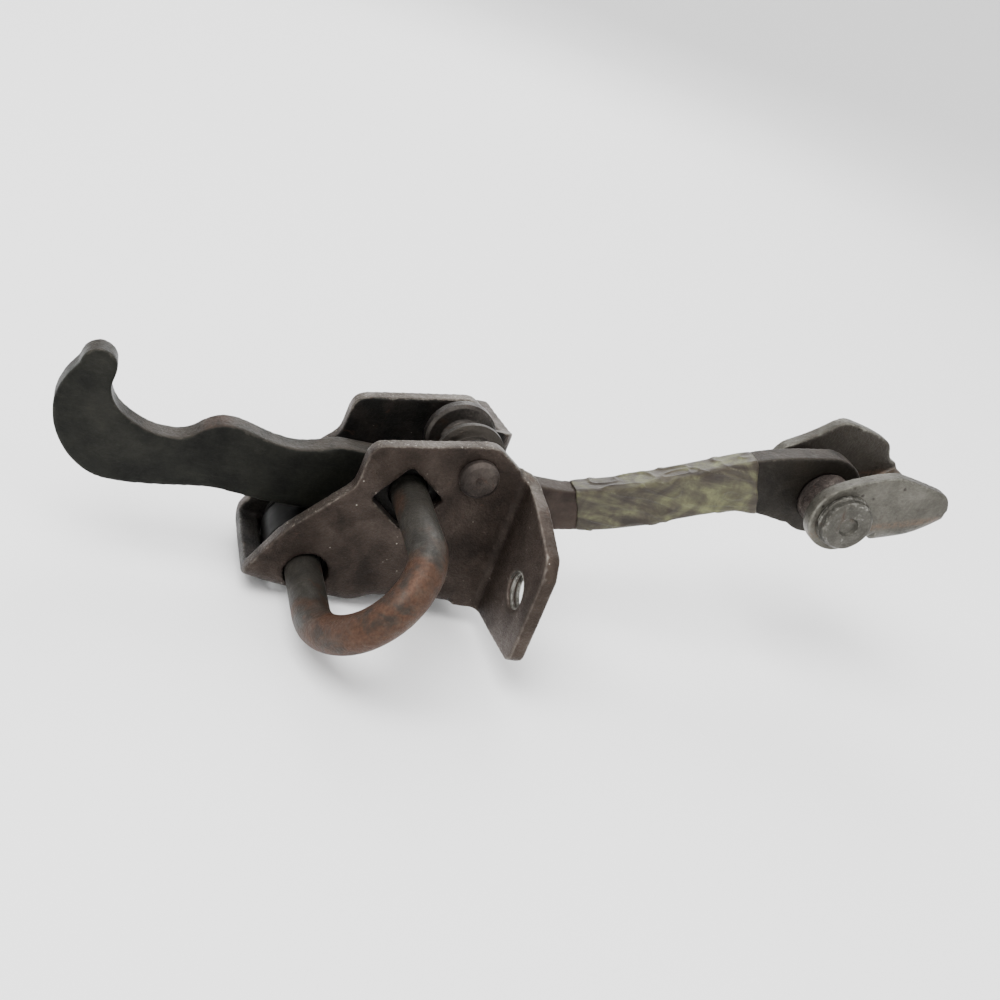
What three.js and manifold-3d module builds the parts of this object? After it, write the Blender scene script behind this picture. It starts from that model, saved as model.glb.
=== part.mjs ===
// Car door check: a cammed arm that slides through a sheet-steel housing, under a grooved roller
// and over a sprung roller, and ends in a riveted yoke. Millimetres, +Z up.
//
// X runs along the arm, from the hooked end stop (-X) to the yoke (+X). Y runs along the pins.
// Everything is drawn around a point in the arm's middle plane just above the grooved roller's
// axis, and the whole group is moved at the end to the middle of the bottom of its box.
import * as THREE from 'three';
import { mergeVertices } from 'three/addons/utils/BufferGeometryUtils.js';
import Module from 'manifold-3d';

const wasm = await Module();
wasm.setup();

// ---- driving dimensions -------------------------------------------------------------------
const GAP = 0.3; // between pieces that touch
const SIDES = 24; // facets round a turned piece
const OVERCUT = 1; // how far a cutter passes the faces it cuts
const BELOW = -40; // lower than every outline
const ABOVE = 40; // and higher

const SHEET = 3.0; // housing and yoke sheet
const WIDTH = 24.4; // over the cheeks
const HALF = WIDTH / 2;
const INNER = HALF - SHEET; // half the clear width
const BEND_OUTER = 3.8; // outer bend radius of the channel

const ARM_THICKNESS = 5.0;
const ARM_CHAMFER = 0.45;
const ARM_HALF = ARM_THICKNESS / 2;
const EYE = { x: 83.6, z: 5.1, radius: 9.6, bore: 5.5 };

const ROLLER_Z = -1.0; // the grooved roller's axis
const ROLLER_PIN = { radius: 2.2, headRadius: 4.0, headHeight: 2.1, bevel: 0.9 };
const ROLLER_BUSH = { inner: 2.35, outer: 2.95, chamfer: 0.1 };
const GROOVE = { radius: 4.0, half: 2.9, corner: 0.8 };
const NEAR_RIM = { radius: 7.2, outer: 5.0, bevel: 0.6 };
const FAR_RIM = { radius: 7.4, outer: 6.0, bevel: 0.6 };
const HUB = { radius: 5.2, half: 6.9 };
const SIDE_WASHER = { radius: 5.5, thickness: 1.7, chamfer: 0.25 };

const ROD_RADIUS = 3.65;
const ANCHOR_LEG = { x: -11.3, z: -8.7, end: -4.6 };
const FREE_LEG = { x: -27.3, z: -28.6, end: 15.4 };
const ROD_REACH = { anchor: -45.4, free: -35.4 }; // where the legs' lines meet the slanting back
const ROD_BEND = { anchor: 11.6, free: 15.0 };
const ANCHOR_COLLAR = { inner: 3.95, outer: 7.2, from: -8.9, to: -6.0, chamfer: 0.4 };
const CLIP = { inner: 3.95, outer: 6.6, thickness: 1.0, chamfer: 0.25 };

const LOWER_ROLLER = { radius: 7.0, bore: 3.95, half: 7.2, crown: 0.6, crownLength: 3, bevel: 0.8 };
const THRUST_WASHER = { radius: 6.0, thickness: 1.1, chamfer: 0.25 };

const SQUARE_HOLE = { x: -12.0, z: -8.8, side: 10.2, corner: 0.9, turn: 54 };
const FREE_HOLE = { x: -26.8, z: -28.8, radius: 4.4 };
const WINDOW = { from: -34.4, to: -18.0, half: 8.9, top: -29 };
const CHANNEL = { left: -38.6, right: 8.5, top: 14 };

const FAR_DROP = 0.75; // how much lower the far cheek's top stands
const FLANGE = { reach: 34.4, root: 4 };
const NEAR_BEND = { face: 10.0, inner: 1.5, drop: 0 };
const FAR_BEND = { face: 11.2, inner: 0.4, drop: 2.2 }; // its top edge stands lower by the drop
const BOLT_HOLE = { radius: 4.0, y: 25.4, z: -16.8, segments: 14 };

const YOKE_TURN = 18; // degrees up from the arm's axis
const YOKE_PIN = { shank: 3.6, collar: 6.2, collarHeight: 1.0, head: 5.8, headHeight: 2.9, bevel: 0.5 };
const YOKE_TAIL = { radius: 5.6, height: 2.3, bevel: 1.0 }; // the rivet's other head
const RECESS = { radius: 2.3, floor: 1.9, depth: 0.8 };
const EYE_BUSH = { inner: 3.9, outer: 5.2, chamfer: 0.15 };
const SPACER = { inner: 3.9, outer: 6.2, chamfer: 0.4 };
const YOKE_WEB = { hole: 4.2, holeAt: 17.9, lip: 0.3 };

// The tape's ends slant; `from` and `to` are where they cross z = 0.
const TAPE = { from: 23.8, to: 68.7, slant: 0.42, clearance: 0.3, thickness: 0.45, chamfer: 0.35 };

// ---- materials ----------------------------------------------------------------------------
function metal(color, roughness, metalness = 0.85) {
  return new THREE.MeshStandardMaterial({ color, roughness, metalness });
}
const FINISH = {
  sheet: () => metal(0x4a403a, 0.6),
  arm: () => metal(0x2a2c28, 0.55),
  rod: () => metal(0x55504a, 0.6),
  roller: () => metal(0x6a625a, 0.45),
  rivet: () => metal(0x6c655c, 0.5),
  ring: () => metal(0x5a4d45, 0.65),
  yoke: () => metal(0x77736b, 0.5),
  nylon: () => metal(0x101010, 0.25, 0),
  tape: () => metal(0x7a7a58, 0.35, 0),
};

// ---- solids -------------------------------------------------------------------------------
function solid(geometry) {
  const bare = geometry.clone();
  bare.deleteAttribute('normal');
  bare.deleteAttribute('uv');
  const merged = mergeVertices(bare, 1e-4);
  const corners = merged.index.array;
  const kept = [];
  for (let i = 0; i < corners.length; i += 3) {
    const [a, b, c] = [corners[i], corners[i + 1], corners[i + 2]];
    if (a !== b && b !== c && c !== a) kept.push(a, b, c);
  }
  const vertProperties = new Float32Array(merged.attributes.position.array);
  const triVerts = new Uint32Array(kept);
  return new wasm.Manifold(new wasm.Mesh({ numProp: 3, vertProperties, triVerts }));
}

function geometryOf(body) {
  const { vertProperties, triVerts } = body.getMesh();
  const geometry = new THREE.BufferGeometry();
  geometry.setAttribute('position', new THREE.BufferAttribute(new Float32Array(vertProperties), 3));
  geometry.setIndex(new THREE.BufferAttribute(new Uint32Array(triVerts), 1));
  geometry.computeVertexNormals();
  return geometry;
}

// An outline in (x, z), extruded along Y between two faces.
function slab(shape, from, to, options = {}) {
  const bevel = options.chamfer ?? 0;
  const geometry = new THREE.ExtrudeGeometry(shape, {
    depth: to - from - 2 * bevel,
    curveSegments: options.segments ?? 6,
    bevelEnabled: bevel > 0,
    bevelThickness: bevel,
    bevelSize: bevel,
    bevelOffset: -bevel,
    bevelSegments: 1,
  });
  geometry.rotateX(Math.PI / 2);
  geometry.translate(0, to - bevel, 0);
  return geometry;
}

// An outline in (y, z), extruded along X between two faces.
function crossSlab(shape, from, to, segments = 6) {
  const geometry = new THREE.ExtrudeGeometry(shape, {
    depth: to - from,
    bevelEnabled: false,
    curveSegments: segments,
  });
  const basis = new THREE.Matrix4().makeBasis(
    new THREE.Vector3(0, 1, 0),
    new THREE.Vector3(0, 0, 1),
    new THREE.Vector3(1, 0, 0),
  );
  geometry.applyMatrix4(basis);
  geometry.translate(from, 0, 0);
  return geometry;
}

// A profile of [radius, y] pairs, turned about an axis along Y.
function turned(profile, x = 0, z = 0) {
  const corners = profile.map(([radius, y]) => new THREE.Vector2(radius, y));
  const geometry = new THREE.LatheGeometry(corners, SIDES);
  geometry.translate(x, 0, z);
  return geometry;
}

function ringProfile({ inner, outer, chamfer }, from, to) {
  return [
    [inner, from],
    [outer - chamfer, from],
    [outer, from + chamfer],
    [outer, to - chamfer],
    [outer - chamfer, to],
    [inner, to],
    [inner, from],
  ];
}

function cylinder(radius, from, to, x, z) {
  return solid(turned([[0, from], [radius, from], [radius, to], [0, to]], x, z));
}

// A round cutter that passes through both cheeks.
function throughCheeks(radius, x, z) {
  return cylinder(radius, -HALF - OVERCUT, HALF + OVERCUT, x, z);
}

function polygon(corners) {
  return new THREE.Shape(corners.map(([a, b]) => new THREE.Vector2(a, b)));
}

function rectangle(left, right, bottom, top) {
  return polygon([[left, bottom], [right, bottom], [right, top], [left, top]]);
}

// A closed outline of [a, b, radius] corners, each rounded by its radius.
function rounded(corners) {
  const shape = new THREE.Shape();
  corners.forEach(([a, b, radius], i) => {
    const here = new THREE.Vector2(a, b);
    const before = new THREE.Vector2(...corners.at(i - 1).slice(0, 2)).sub(here);
    const after = new THREE.Vector2(...corners[(i + 1) % corners.length].slice(0, 2)).sub(here);
    const half = Math.acos(before.dot(after) / before.length() / after.length()) / 2;
    const reach = radius / Math.tan(half);
    const start = here.clone().addScaledVector(before.normalize(), reach);
    const end = here.clone().addScaledVector(after.normalize(), reach);
    if (i === 0) shape.moveTo(start.x, start.y);
    else shape.lineTo(start.x, start.y);
    if (radius > 0) {
      const toCentre = before.add(after).normalize();
      const centre = here.addScaledVector(toCentre, radius / Math.sin(half));
      const startAngle = Math.atan2(start.y - centre.y, start.x - centre.x);
      const endAngle = Math.atan2(end.y - centre.y, end.x - centre.x);
      const sweep = Math.atan2(Math.sin(endAngle - startAngle), Math.cos(endAngle - startAngle));
      shape.absarc(centre.x, centre.y, radius, startAngle, endAngle, sweep < 0);
    }
  });
  shape.closePath();
  return shape;
}

function mesh(name, body, material) {
  const geometry = body instanceof THREE.BufferGeometry ? body : geometryOf(body);
  const piece = new THREE.Mesh(geometry, material);
  piece.name = name;
  return piece;
}

// ---- housing ------------------------------------------------------------------------------
// The channel's underside dips below the free leg's hole and steps up towards the flanges.
const UNDERSIDE = [
  [-38.6, -32.6],
  [-32.0, -33.8],
  [-24.0, -34.7],
  [-17.5, -35.1],
  [-15.0, -34.7],
  [-13.0, -33.6],
  [-10.5, -33.0],
  [-2.0, -32.2],
  [8.5, -32.0],
];

// One U-shaped section of bent sheet, as [y, z] pairs, for an underside at height z.
function channelSection(z, top) {
  const steps = 3;
  const centreY = HALF - BEND_OUTER;
  const centreZ = z + BEND_OUTER;
  const corner = (radius, side) => Array.from({ length: steps + 1 }, (_, i) => {
    const angle = (Math.PI / 2) * (i / steps);
    return [side * (centreY + radius * Math.cos(angle)), centreZ - radius * Math.sin(angle)];
  });
  return [
    [-HALF, top],
    ...corner(BEND_OUTER, -1),
    ...corner(BEND_OUTER, 1).reverse(),
    [HALF, top],
    [INNER, top],
    ...corner(BEND_OUTER - SHEET, 1),
    ...corner(BEND_OUTER - SHEET, -1).reverse(),
    [-INNER, top],
  ];
}

// Joins equal-sized closed sections, given as rings of [y, z] at each x, into one solid.
function loft(stations) {
  const size = stations[0].ring.length;
  const positions = stations.flatMap(({ x, ring }) => ring.flatMap(([y, z]) => [x, y, z]));
  const index = [];
  for (let s = 0; s < stations.length - 1; s += 1) {
    for (let i = 0; i < size; i += 1) {
      const a = s * size + i;
      const b = s * size + ((i + 1) % size);
      index.push(a, b, a + size, b, b + size, a + size);
    }
  }
  const flat = stations[0].ring.map(([y, z]) => new THREE.Vector2(y, z));
  const last = (stations.length - 1) * size;
  for (const [a, b, c] of THREE.ShapeUtils.triangulateShape(flat, [])) {
    index.push(c, b, a, last + a, last + b, last + c);
  }
  const geometry = new THREE.BufferGeometry();
  geometry.setAttribute('position', new THREE.BufferAttribute(new Float32Array(positions), 3));
  geometry.setIndex(index);
  return geometry;
}

// A cheek's side outline; its bottom lies below the channel, which ends it there.
function cheekOutline(drop) {
  return rounded([
    [CHANNEL.left, BELOW, 0],
    [CHANNEL.left, -29.8, 6],
    [-33.4, -20.2, 12],
    [-22.6, -8.0, 4],
    [-21.9, 1.25 - drop, 3.4],
    [2.2, 5.95 - drop, 4.5],
    [CHANNEL.right, 1.6 - drop, 0.8],
    [CHANNEL.right, BELOW, 0],
  ]);
}

// A cheek's end bent outwards by a right angle, as [x, y] for the cheek on the +Y side.
function flangeProfile({ face, inner }) {
  const { reach, root } = FLANGE;
  const centreX = face - inner;
  const centreY = HALF + inner;
  const shape = new THREE.Shape();
  shape.moveTo(centreX - root, INNER);
  shape.lineTo(centreX, INNER);
  shape.absarc(centreX, centreY, inner + SHEET, -Math.PI / 2, 0, false);
  shape.lineTo(face + SHEET, reach);
  shape.lineTo(face, reach);
  shape.lineTo(face, centreY);
  shape.absarc(centreX, centreY, inner, 0, -Math.PI / 2, true);
  shape.lineTo(centreX - root, HALF);
  shape.closePath();
  return shape;
}

// The flange's outline seen along the arm, as [y, z] for the +Y side.
function flangeOutline({ drop }) {
  const { reach } = FLANGE;
  return rounded([
    [INNER - OVERCUT, 1.8 - drop, 0],
    [13.0, 0.2 - drop, 2.5],
    [21.0, -0.9 - drop, 3],
    [32.4, -4.4, 2],
    [reach, -8.0, 2],
    [reach, -26.6, 2],
    [32.4, -28.4, 2],
    [HALF, -31.4, 2],
    [INNER - OVERCUT, -31.6, 0],
  ]);
}

// A flange on the +Y side, with its bolt's hole drilled along the arm.
function flange(bend) {
  const bent = new THREE.ExtrudeGeometry(flangeProfile(bend), {
    depth: CHANNEL.top - BELOW,
    bevelEnabled: false,
    curveSegments: 5,
  });
  bent.translate(0, 0, BELOW);
  const past = bend.face + SHEET + OVERCUT;
  const { radius, y, z, segments } = BOLT_HOLE;
  const circle = new THREE.Shape();
  circle.absarc(y, z, radius, 0, 2 * Math.PI, false);
  return solid(bent)
    .intersect(solid(crossSlab(flangeOutline(bend), 0, past)))
    .subtract(solid(crossSlab(circle, bend.face - OVERCUT, past, segments)));
}

function squareHole() {
  const { x, z, side, corner, turn } = SQUARE_HOLE;
  const half = side / 2;
  const outline = rounded([
    [-half, -half, corner],
    [half, -half, corner],
    [half, half, corner],
    [-half, half, corner],
  ]);
  const geometry = slab(outline, -HALF - OVERCUT, -INNER + OVERCUT);
  geometry.rotateY(THREE.MathUtils.degToRad(-turn));
  return geometry.translate(x, 0, z);
}

function housing() {
  const curve = new THREE.SplineCurve(UNDERSIDE.map(([x, z]) => new THREE.Vector2(x, z)));
  const steps = 14;
  const stations = curve.getPoints(steps).map((p) => ({ x: p.x, ring: channelSection(p.y, CHANNEL.top) }));
  const both = solid(slab(cheekOutline(0), -HALF - OVERCUT, HALF + OVERCUT));
  const far = solid(slab(cheekOutline(FAR_DROP), -HALF, HALF + OVERCUT));
  const above = rectangle(-ABOVE, ABOVE, FREE_HOLE.z + ROD_RADIUS, ABOVE);
  const farTop = solid(slab(above, 0, HALF + OVERCUT)).subtract(far);
  const window = rectangle(WINDOW.from, WINDOW.to, BELOW, WINDOW.top);
  return solid(loft(stations))
    .intersect(both)
    .subtract(farTop)
    .add(flange(FAR_BEND))
    .add(flange(NEAR_BEND).mirror([0, 1, 0]))
    .subtract(solid(slab(window, -WINDOW.half, WINDOW.half)))
    .subtract(solid(squareHole()))
    .subtract(throughCheeks(FREE_HOLE.radius, FREE_HOLE.x, FREE_HOLE.z))
    .subtract(throughCheeks(ROLLER_PIN.radius + GAP / 2, 0, ROLLER_Z));
}

// ---- grooved roller on its riveted pin --------------------------------------------------------
function rollerPin() {
  const { radius, headRadius, headHeight, bevel } = ROLLER_PIN;
  const face = HALF + GAP / 2;
  const top = face + headHeight;
  return turned([
    [0, -top],
    [headRadius - bevel, -top],
    [headRadius, -top + bevel],
    [headRadius, -face],
    [radius, -face],
    [radius, face],
    [headRadius, face],
    [headRadius, top - bevel],
    [headRadius - bevel, top],
    [0, top],
  ], 0, ROLLER_Z);
}

function rollerBush() {
  return turned(ringProfile(ROLLER_BUSH, -HUB.half, HUB.half), 0, ROLLER_Z);
}

function groovedRoller() {
  const bore = ROLLER_BUSH.outer + GAP / 2;
  const { radius, half, corner } = GROOVE;
  return turned([
    [bore, -HUB.half],
    [HUB.radius, -HUB.half],
    [HUB.radius, -NEAR_RIM.outer],
    [NEAR_RIM.radius - NEAR_RIM.bevel, -NEAR_RIM.outer],
    [NEAR_RIM.radius, -NEAR_RIM.outer + NEAR_RIM.bevel],
    [NEAR_RIM.radius, -half],
    [radius + corner, -half],
    [radius, -half + corner],
    [radius, half - corner],
    [radius + corner, half],
    [FAR_RIM.radius, half],
    [FAR_RIM.radius, FAR_RIM.outer - FAR_RIM.bevel],
    [FAR_RIM.radius - FAR_RIM.bevel, FAR_RIM.outer],
    [HUB.radius, FAR_RIM.outer],
    [HUB.radius, HUB.half],
    [bore, HUB.half],
    [bore, -HUB.half],
  ], 0, ROLLER_Z);
}

function sideWasher(side) {
  const outer = INNER - GAP;
  const inner = outer - SIDE_WASHER.thickness;
  const [from, to] = side < 0 ? [-outer, -inner] : [inner, outer];
  const ring = {
    inner: ROLLER_PIN.radius + GAP / 2,
    outer: SIDE_WASHER.radius,
    chamfer: SIDE_WASHER.chamfer,
  };
  return turned(ringProfile(ring, from, to), 0, ROLLER_Z);
}

// ---- arm ----------------------------------------------------------------------------------
// The cam edge that the grooved roller runs on, from the hook's throat to the eye's top.
const CAM_EDGE = [
  [-68.1, 1.0],
  [-68.4, -2.8],
  [-66.2, -6.4],
  [-61.5, -9.1],
  [-57.3, -9.9],
  [-53.4, -9.2],
  [-50.0, -6.5],
  [-47.2, -5.4],
  [-43.6, -5.6],
  [-37.5, -7.2],
  [-32.5, -7.5],
  [-28.6, -6.7],
  [-24.6, -5.4],
  [-20.0, -5.3],
  [-4.0, -5.3],
  [6.0, -5.3],
  [14.0, -5.3],
  [20.5, -5.7],
  [27.0, -5.2],
  [35.3, -2.8],
  [43.5, 0.6],
  [51.6, 4.5],
  [60.0, 8.3],
  [67.4, 11.2],
  [75.0, 13.3],
];

// The plain edge that the lower roller runs on, from the eye's underside to the hook's heel.
const BELLY = [
  [76.5, -3.0],
  [70.0, -2.3],
  [63.5, -2.5],
  [57.0, -4.9],
  [46.2, -9.5],
  [35.3, -12.9],
  [24.0, -15.4],
  [8.0, -17.9],
  [-12.0, -19.8],
  [-32.8, -20.2],
  [-40.5, -19.6],
  [-48.0, -19.2],
  [-57.0, -20.5],
  [-63.0, -21.0],
  [-68.5, -20.6],
  [-73.3, -17.5],
  [-76.6, -12.4],
  [-77.7, -7.0],
  [-76.8, -2.6],
  [-74.6, 1.4],
];
const HOOK_TIP = { x: -71.3, z: 1.6, radius: 3.2, start: 2.9, end: 0.1 };
const EYE_ARC = { start: 1.82, end: -2.12 }; // radians round the eye, between the two edges

function points(list) {
  return list.map(([x, z]) => new THREE.Vector2(x, z));
}

function armOutline() {
  const shape = new THREE.Shape();
  shape.moveTo(...CAM_EDGE[0]);
  shape.splineThru(points(CAM_EDGE.slice(1)));
  shape.absarc(EYE.x, EYE.z, EYE.radius, EYE_ARC.start, EYE_ARC.end, true);
  shape.splineThru(points(BELLY));
  shape.absarc(HOOK_TIP.x, HOOK_TIP.z, HOOK_TIP.radius, HOOK_TIP.start, HOOK_TIP.end, true);
  shape.closePath();
  return shape;
}

function arm() {
  const finish = { chamfer: ARM_CHAMFER, segments: 2 };
  return solid(slab(armOutline(), -ARM_HALF, ARM_HALF, finish))
    .subtract(throughCheeks(EYE.bore, EYE.x, EYE.z));
}

function eyeBush() {
  return turned(ringProfile(EYE_BUSH, -ARM_HALF, ARM_HALF), EYE.x, EYE.z);
}

// A band of clear tape wound round the arm, loose by a little and open at both ends.
function tape() {
  const heel = [
    EYE.x + EYE.radius * Math.cos(EYE_ARC.end),
    EYE.z + EYE.radius * Math.sin(EYE_ARC.end),
  ];
  const top = new THREE.SplineCurve(points(CAM_EDGE));
  const bottom = new THREE.SplineCurve(points([heel, ...BELLY]));
  const margin = 7.5; // of edge kept beyond the tape's ends, before they are cut
  const stretch = (curve) => curve.getPoints(curve.points.length * 2)
    .filter((p) => p.x > TAPE.from - margin && p.x < TAPE.to + margin);
  const outline = (grow) => {
    const upper = stretch(top).map((p) => [p.x, p.y + grow]);
    const lower = stretch(bottom).map((p) => [p.x, p.y - grow]);
    return polygon([...lower.reverse(), ...upper.reverse()]);
  };
  const skin = TAPE.clearance + TAPE.thickness;
  const outer = slab(outline(skin), -ARM_HALF - skin, ARM_HALF + skin, { chamfer: TAPE.chamfer });
  const inside = ARM_HALF + TAPE.clearance;
  const inner = slab(outline(TAPE.clearance), -inside, inside);
  const end = (x, z) => [x - TAPE.slant * z, z];
  const length = slab(polygon([
    end(TAPE.from, BELOW),
    end(TAPE.to, BELOW),
    end(TAPE.to, ABOVE),
    end(TAPE.from, ABOVE),
  ]), -HALF, HALF);
  return solid(outer).intersect(solid(length)).subtract(solid(inner));
}

// ---- yoke ---------------------------------------------------------------------------------
// Drawn with the pin at the origin and the yoke's own length along +X, then turned and placed.
const WING_END = { radius: 7.8, start: -0.9, nearEnd: 2.0, farEnd: 2.1 };
const NEAR_WING_TOP = [
  [-2.0, 7.6],
  [1.5, 8.5],
  [7.0, 9.1],
  [12.0, 9.0],
  [14.7, 8.1],
  [19.2, 6.0],
  [23.6, 3.8],
  [25.2, 2.5],
  [25.9, 0.4],
  [25.9, -1.2],
];
const FAR_WING_TOP = [
  [0.4, 7.9],
  [5.1, 9.5],
  [8.0, 10.8],
  [10.6, 11.3],
  [13.2, 10.3],
  [17.8, 7.9],
  [21.4, 5.6],
  [22.8, 4.0],
  [23.3, 1.8],
  [23.9, -0.1],
];
// The web's outer face along the yoke: flat by the pin, then turned up towards the tip.
const WEB_OUTER = [
  [9.0, -7.8],
  [15.0, -7.8],
  [17.5, -7.6],
  [19.5, -7.2],
  [21.5, -6.5],
  [23.5, -5.7],
  [25.5, -4.8],
];
const WING_HEEL = [[8.3, -4.6], [6.8, -5.5]]; // between the web and the wing's round end

function wingOutline(isNear) {
  const { radius, start, nearEnd, farEnd } = WING_END;
  const [heelTop, heelBottom] = WING_HEEL;
  const foot = WEB_OUTER.map(([u, v]) => new THREE.Vector2(u, v + BEND_OUTER)).reverse();
  const shape = new THREE.Shape();
  shape.moveTo(...heelBottom);
  shape.absarc(0, 0, radius, start, isNear ? nearEnd : farEnd, true);
  shape.splineThru(points(isNear ? NEAR_WING_TOP : FAR_WING_TOP));
  foot.forEach((corner) => shape.lineTo(corner.x, corner.y));
  shape.lineTo(...heelTop);
  shape.closePath();
  return shape;
}

function yokeBracket() {
  const { hole, holeAt, lip } = YOKE_WEB;
  const web = WEB_OUTER.map(([x, z]) => ({ x, ring: channelSection(z, z + BEND_OUTER + lip) }));
  const boltHole = new THREE.CylinderGeometry(hole, hole, 4 * SHEET, SIDES);
  boltHole.rotateX(Math.PI / 2);
  boltHole.translate(holeAt, 0, WEB_OUTER[0][1]);
  return solid(loft(web))
    .add(solid(slab(wingOutline(true), -HALF, -INNER)))
    .add(solid(slab(wingOutline(false), INNER, HALF)))
    .subtract(solid(boltHole))
    .subtract(throughCheeks(YOKE_PIN.shank + GAP / 2, 0, 0));
}

function yokePin() {
  const { shank, collar, collarHeight, head, headHeight, bevel } = YOKE_PIN;
  const face = HALF + GAP / 2;
  const step = face + collarHeight;
  const top = face + headHeight;
  const tail = face + YOKE_TAIL.height;
  return turned([
    [0, -top + RECESS.depth],
    [RECESS.floor, -top + RECESS.depth],
    [RECESS.radius, -top],
    [head - bevel, -top],
    [head, -top + bevel],
    [head, -step],
    [collar - bevel, -step],
    [collar, -step + bevel],
    [collar, -face],
    [shank, -face],
    [shank, face],
    [YOKE_TAIL.radius, face],
    [YOKE_TAIL.radius, tail - YOKE_TAIL.bevel],
    [YOKE_TAIL.radius - YOKE_TAIL.bevel, tail],
    [0, tail],
  ]);
}

function spacerRing(side) {
  const near = ARM_HALF + GAP;
  const far = INNER - GAP;
  const [from, to] = side < 0 ? [-far, -near] : [near, far];
  return turned(ringProfile(SPACER, from, to));
}

// ---- spring rod and lower roller ----------------------------------------------------------------
// A round bend between two straight runs that meet at a corner.
class Bend extends THREE.Curve {
  constructor(before, corner, after, radius) {
    super();
    const back = before.clone().sub(corner).normalize();
    const on = after.clone().sub(corner).normalize();
    const half = back.angleTo(on) / 2;
    const reach = radius / Math.tan(half);
    this.start = corner.clone().addScaledVector(back, reach);
    this.end = corner.clone().addScaledVector(on, reach);
    this.centre = corner.clone().addScaledVector(back.add(on).normalize(), radius / Math.sin(half));
    this.sweep = Math.PI - 2 * half;
  }

  getPoint(t) {
    const a = this.start.clone().sub(this.centre);
    const b = this.end.clone().sub(this.centre);
    const weight = Math.sin(this.sweep);
    a.multiplyScalar(Math.sin((1 - t) * this.sweep) / weight);
    b.multiplyScalar(Math.sin(t * this.sweep) / weight);
    return a.add(b).add(this.centre);
  }
}

function springRod() {
  const anchorEnd = new THREE.Vector3(ANCHOR_LEG.x, ANCHOR_LEG.end, ANCHOR_LEG.z);
  const anchorCorner = new THREE.Vector3(ANCHOR_LEG.x, ROD_REACH.anchor, ANCHOR_LEG.z);
  const freeCorner = new THREE.Vector3(FREE_LEG.x, ROD_REACH.free, FREE_LEG.z);
  const freeEnd = new THREE.Vector3(FREE_LEG.x, FREE_LEG.end, FREE_LEG.z);
  const anchorBend = new Bend(anchorEnd, anchorCorner, freeCorner, ROD_BEND.anchor);
  const freeBend = new Bend(anchorCorner, freeCorner, freeEnd, ROD_BEND.free);
  const path = new THREE.CurvePath();
  path.add(new THREE.LineCurve3(anchorEnd, anchorBend.start));
  path.add(anchorBend);
  path.add(new THREE.LineCurve3(anchorBend.end, freeBend.start));
  path.add(freeBend);
  path.add(new THREE.LineCurve3(freeBend.end, freeEnd));
  const section = new THREE.Shape().absarc(0, 0, ROD_RADIUS, 0, 2 * Math.PI, false);
  return new THREE.ExtrudeGeometry(section, {
    steps: 36,
    extrudePath: path,
    curveSegments: 7,
    bevelEnabled: false,
  });
}

function anchorCollar() {
  const { from, to } = ANCHOR_COLLAR;
  return turned(ringProfile(ANCHOR_COLLAR, from, to), ANCHOR_LEG.x, ANCHOR_LEG.z);
}

function retainingClip() {
  const from = HALF + GAP;
  return turned(ringProfile(CLIP, from, from + CLIP.thickness), FREE_LEG.x, FREE_LEG.z);
}

function lowerRoller() {
  const { radius, bore, half, crown, crownLength, bevel } = LOWER_ROLLER;
  return turned([
    [bore, -half],
    [radius - crown - bevel, -half],
    [radius - crown, -half + bevel],
    [radius, -half + crownLength],
    [radius, half - crownLength],
    [radius - crown, half - bevel],
    [radius - crown - bevel, half],
    [bore, half],
    [bore, -half],
  ], FREE_LEG.x, FREE_LEG.z);
}

function thrustWasher(side) {
  const near = LOWER_ROLLER.half + GAP;
  const far = near + THRUST_WASHER.thickness;
  const [from, to] = side < 0 ? [-far, -near] : [near, far];
  const ring = {
    inner: LOWER_ROLLER.bore,
    outer: THRUST_WASHER.radius,
    chamfer: THRUST_WASHER.chamfer,
  };
  return turned(ringProfile(ring, from, to), FREE_LEG.x, FREE_LEG.z);
}

// ---- assembly -----------------------------------------------------------------------------
const assembly = new THREE.Group();
assembly.add(
  mesh('housing', housing(), FINISH.sheet()),
  mesh('roller_pin', rollerPin(), FINISH.rivet()),
  mesh('near_side_washer', sideWasher(-1), FINISH.ring()),
  mesh('far_side_washer', sideWasher(1), FINISH.ring()),
  mesh('roller_bush', rollerBush(), FINISH.ring()),
  mesh('grooved_roller', groovedRoller(), FINISH.roller()),
  mesh('arm', arm(), FINISH.arm()),
  mesh('eye_bush', eyeBush(), FINISH.ring()),
  mesh('tape_wrap', tape(), FINISH.tape()),
  mesh('spring_rod', springRod(), FINISH.rod()),
  mesh('anchor_collar', anchorCollar(), FINISH.ring()),
  mesh('retaining_clip', retainingClip(), FINISH.rivet()),
  mesh('lower_roller', lowerRoller(), FINISH.nylon()),
  mesh('near_thrust_washer', thrustWasher(-1), FINISH.ring()),
  mesh('far_thrust_washer', thrustWasher(1), FINISH.ring()),
);

const yoke = new THREE.Group();
yoke.position.set(EYE.x, 0, EYE.z);
yoke.rotation.y = THREE.MathUtils.degToRad(-YOKE_TURN);
yoke.add(
  mesh('yoke_bracket', yokeBracket(), FINISH.yoke()),
  mesh('yoke_pin', yokePin(), FINISH.rivet()),
  mesh('near_spacer_ring', spacerRing(-1), FINISH.ring()),
  mesh('far_spacer_ring', spacerRing(1), FINISH.ring()),
);
assembly.add(yoke);

assembly.updateMatrixWorld(true);
const box = new THREE.Box3().setFromObject(assembly, true);
const middle = box.getCenter(new THREE.Vector3());
assembly.position.set(-middle.x, -middle.y, -box.min.z);

export default assembly;
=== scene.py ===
"""Looks of a used car door check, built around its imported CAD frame.

Shapes are drawn in millimetres in the CAD model's own drawing axes, which cross in the arm's middle
plane just above the grooved roller's axis: X along the arm, Y along the pins, Z up. `at` turns such
a point into the frame.
"""

import math
from itertools import product

import bmesh
import bpy
import numpy as np
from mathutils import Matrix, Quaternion, Vector


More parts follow.
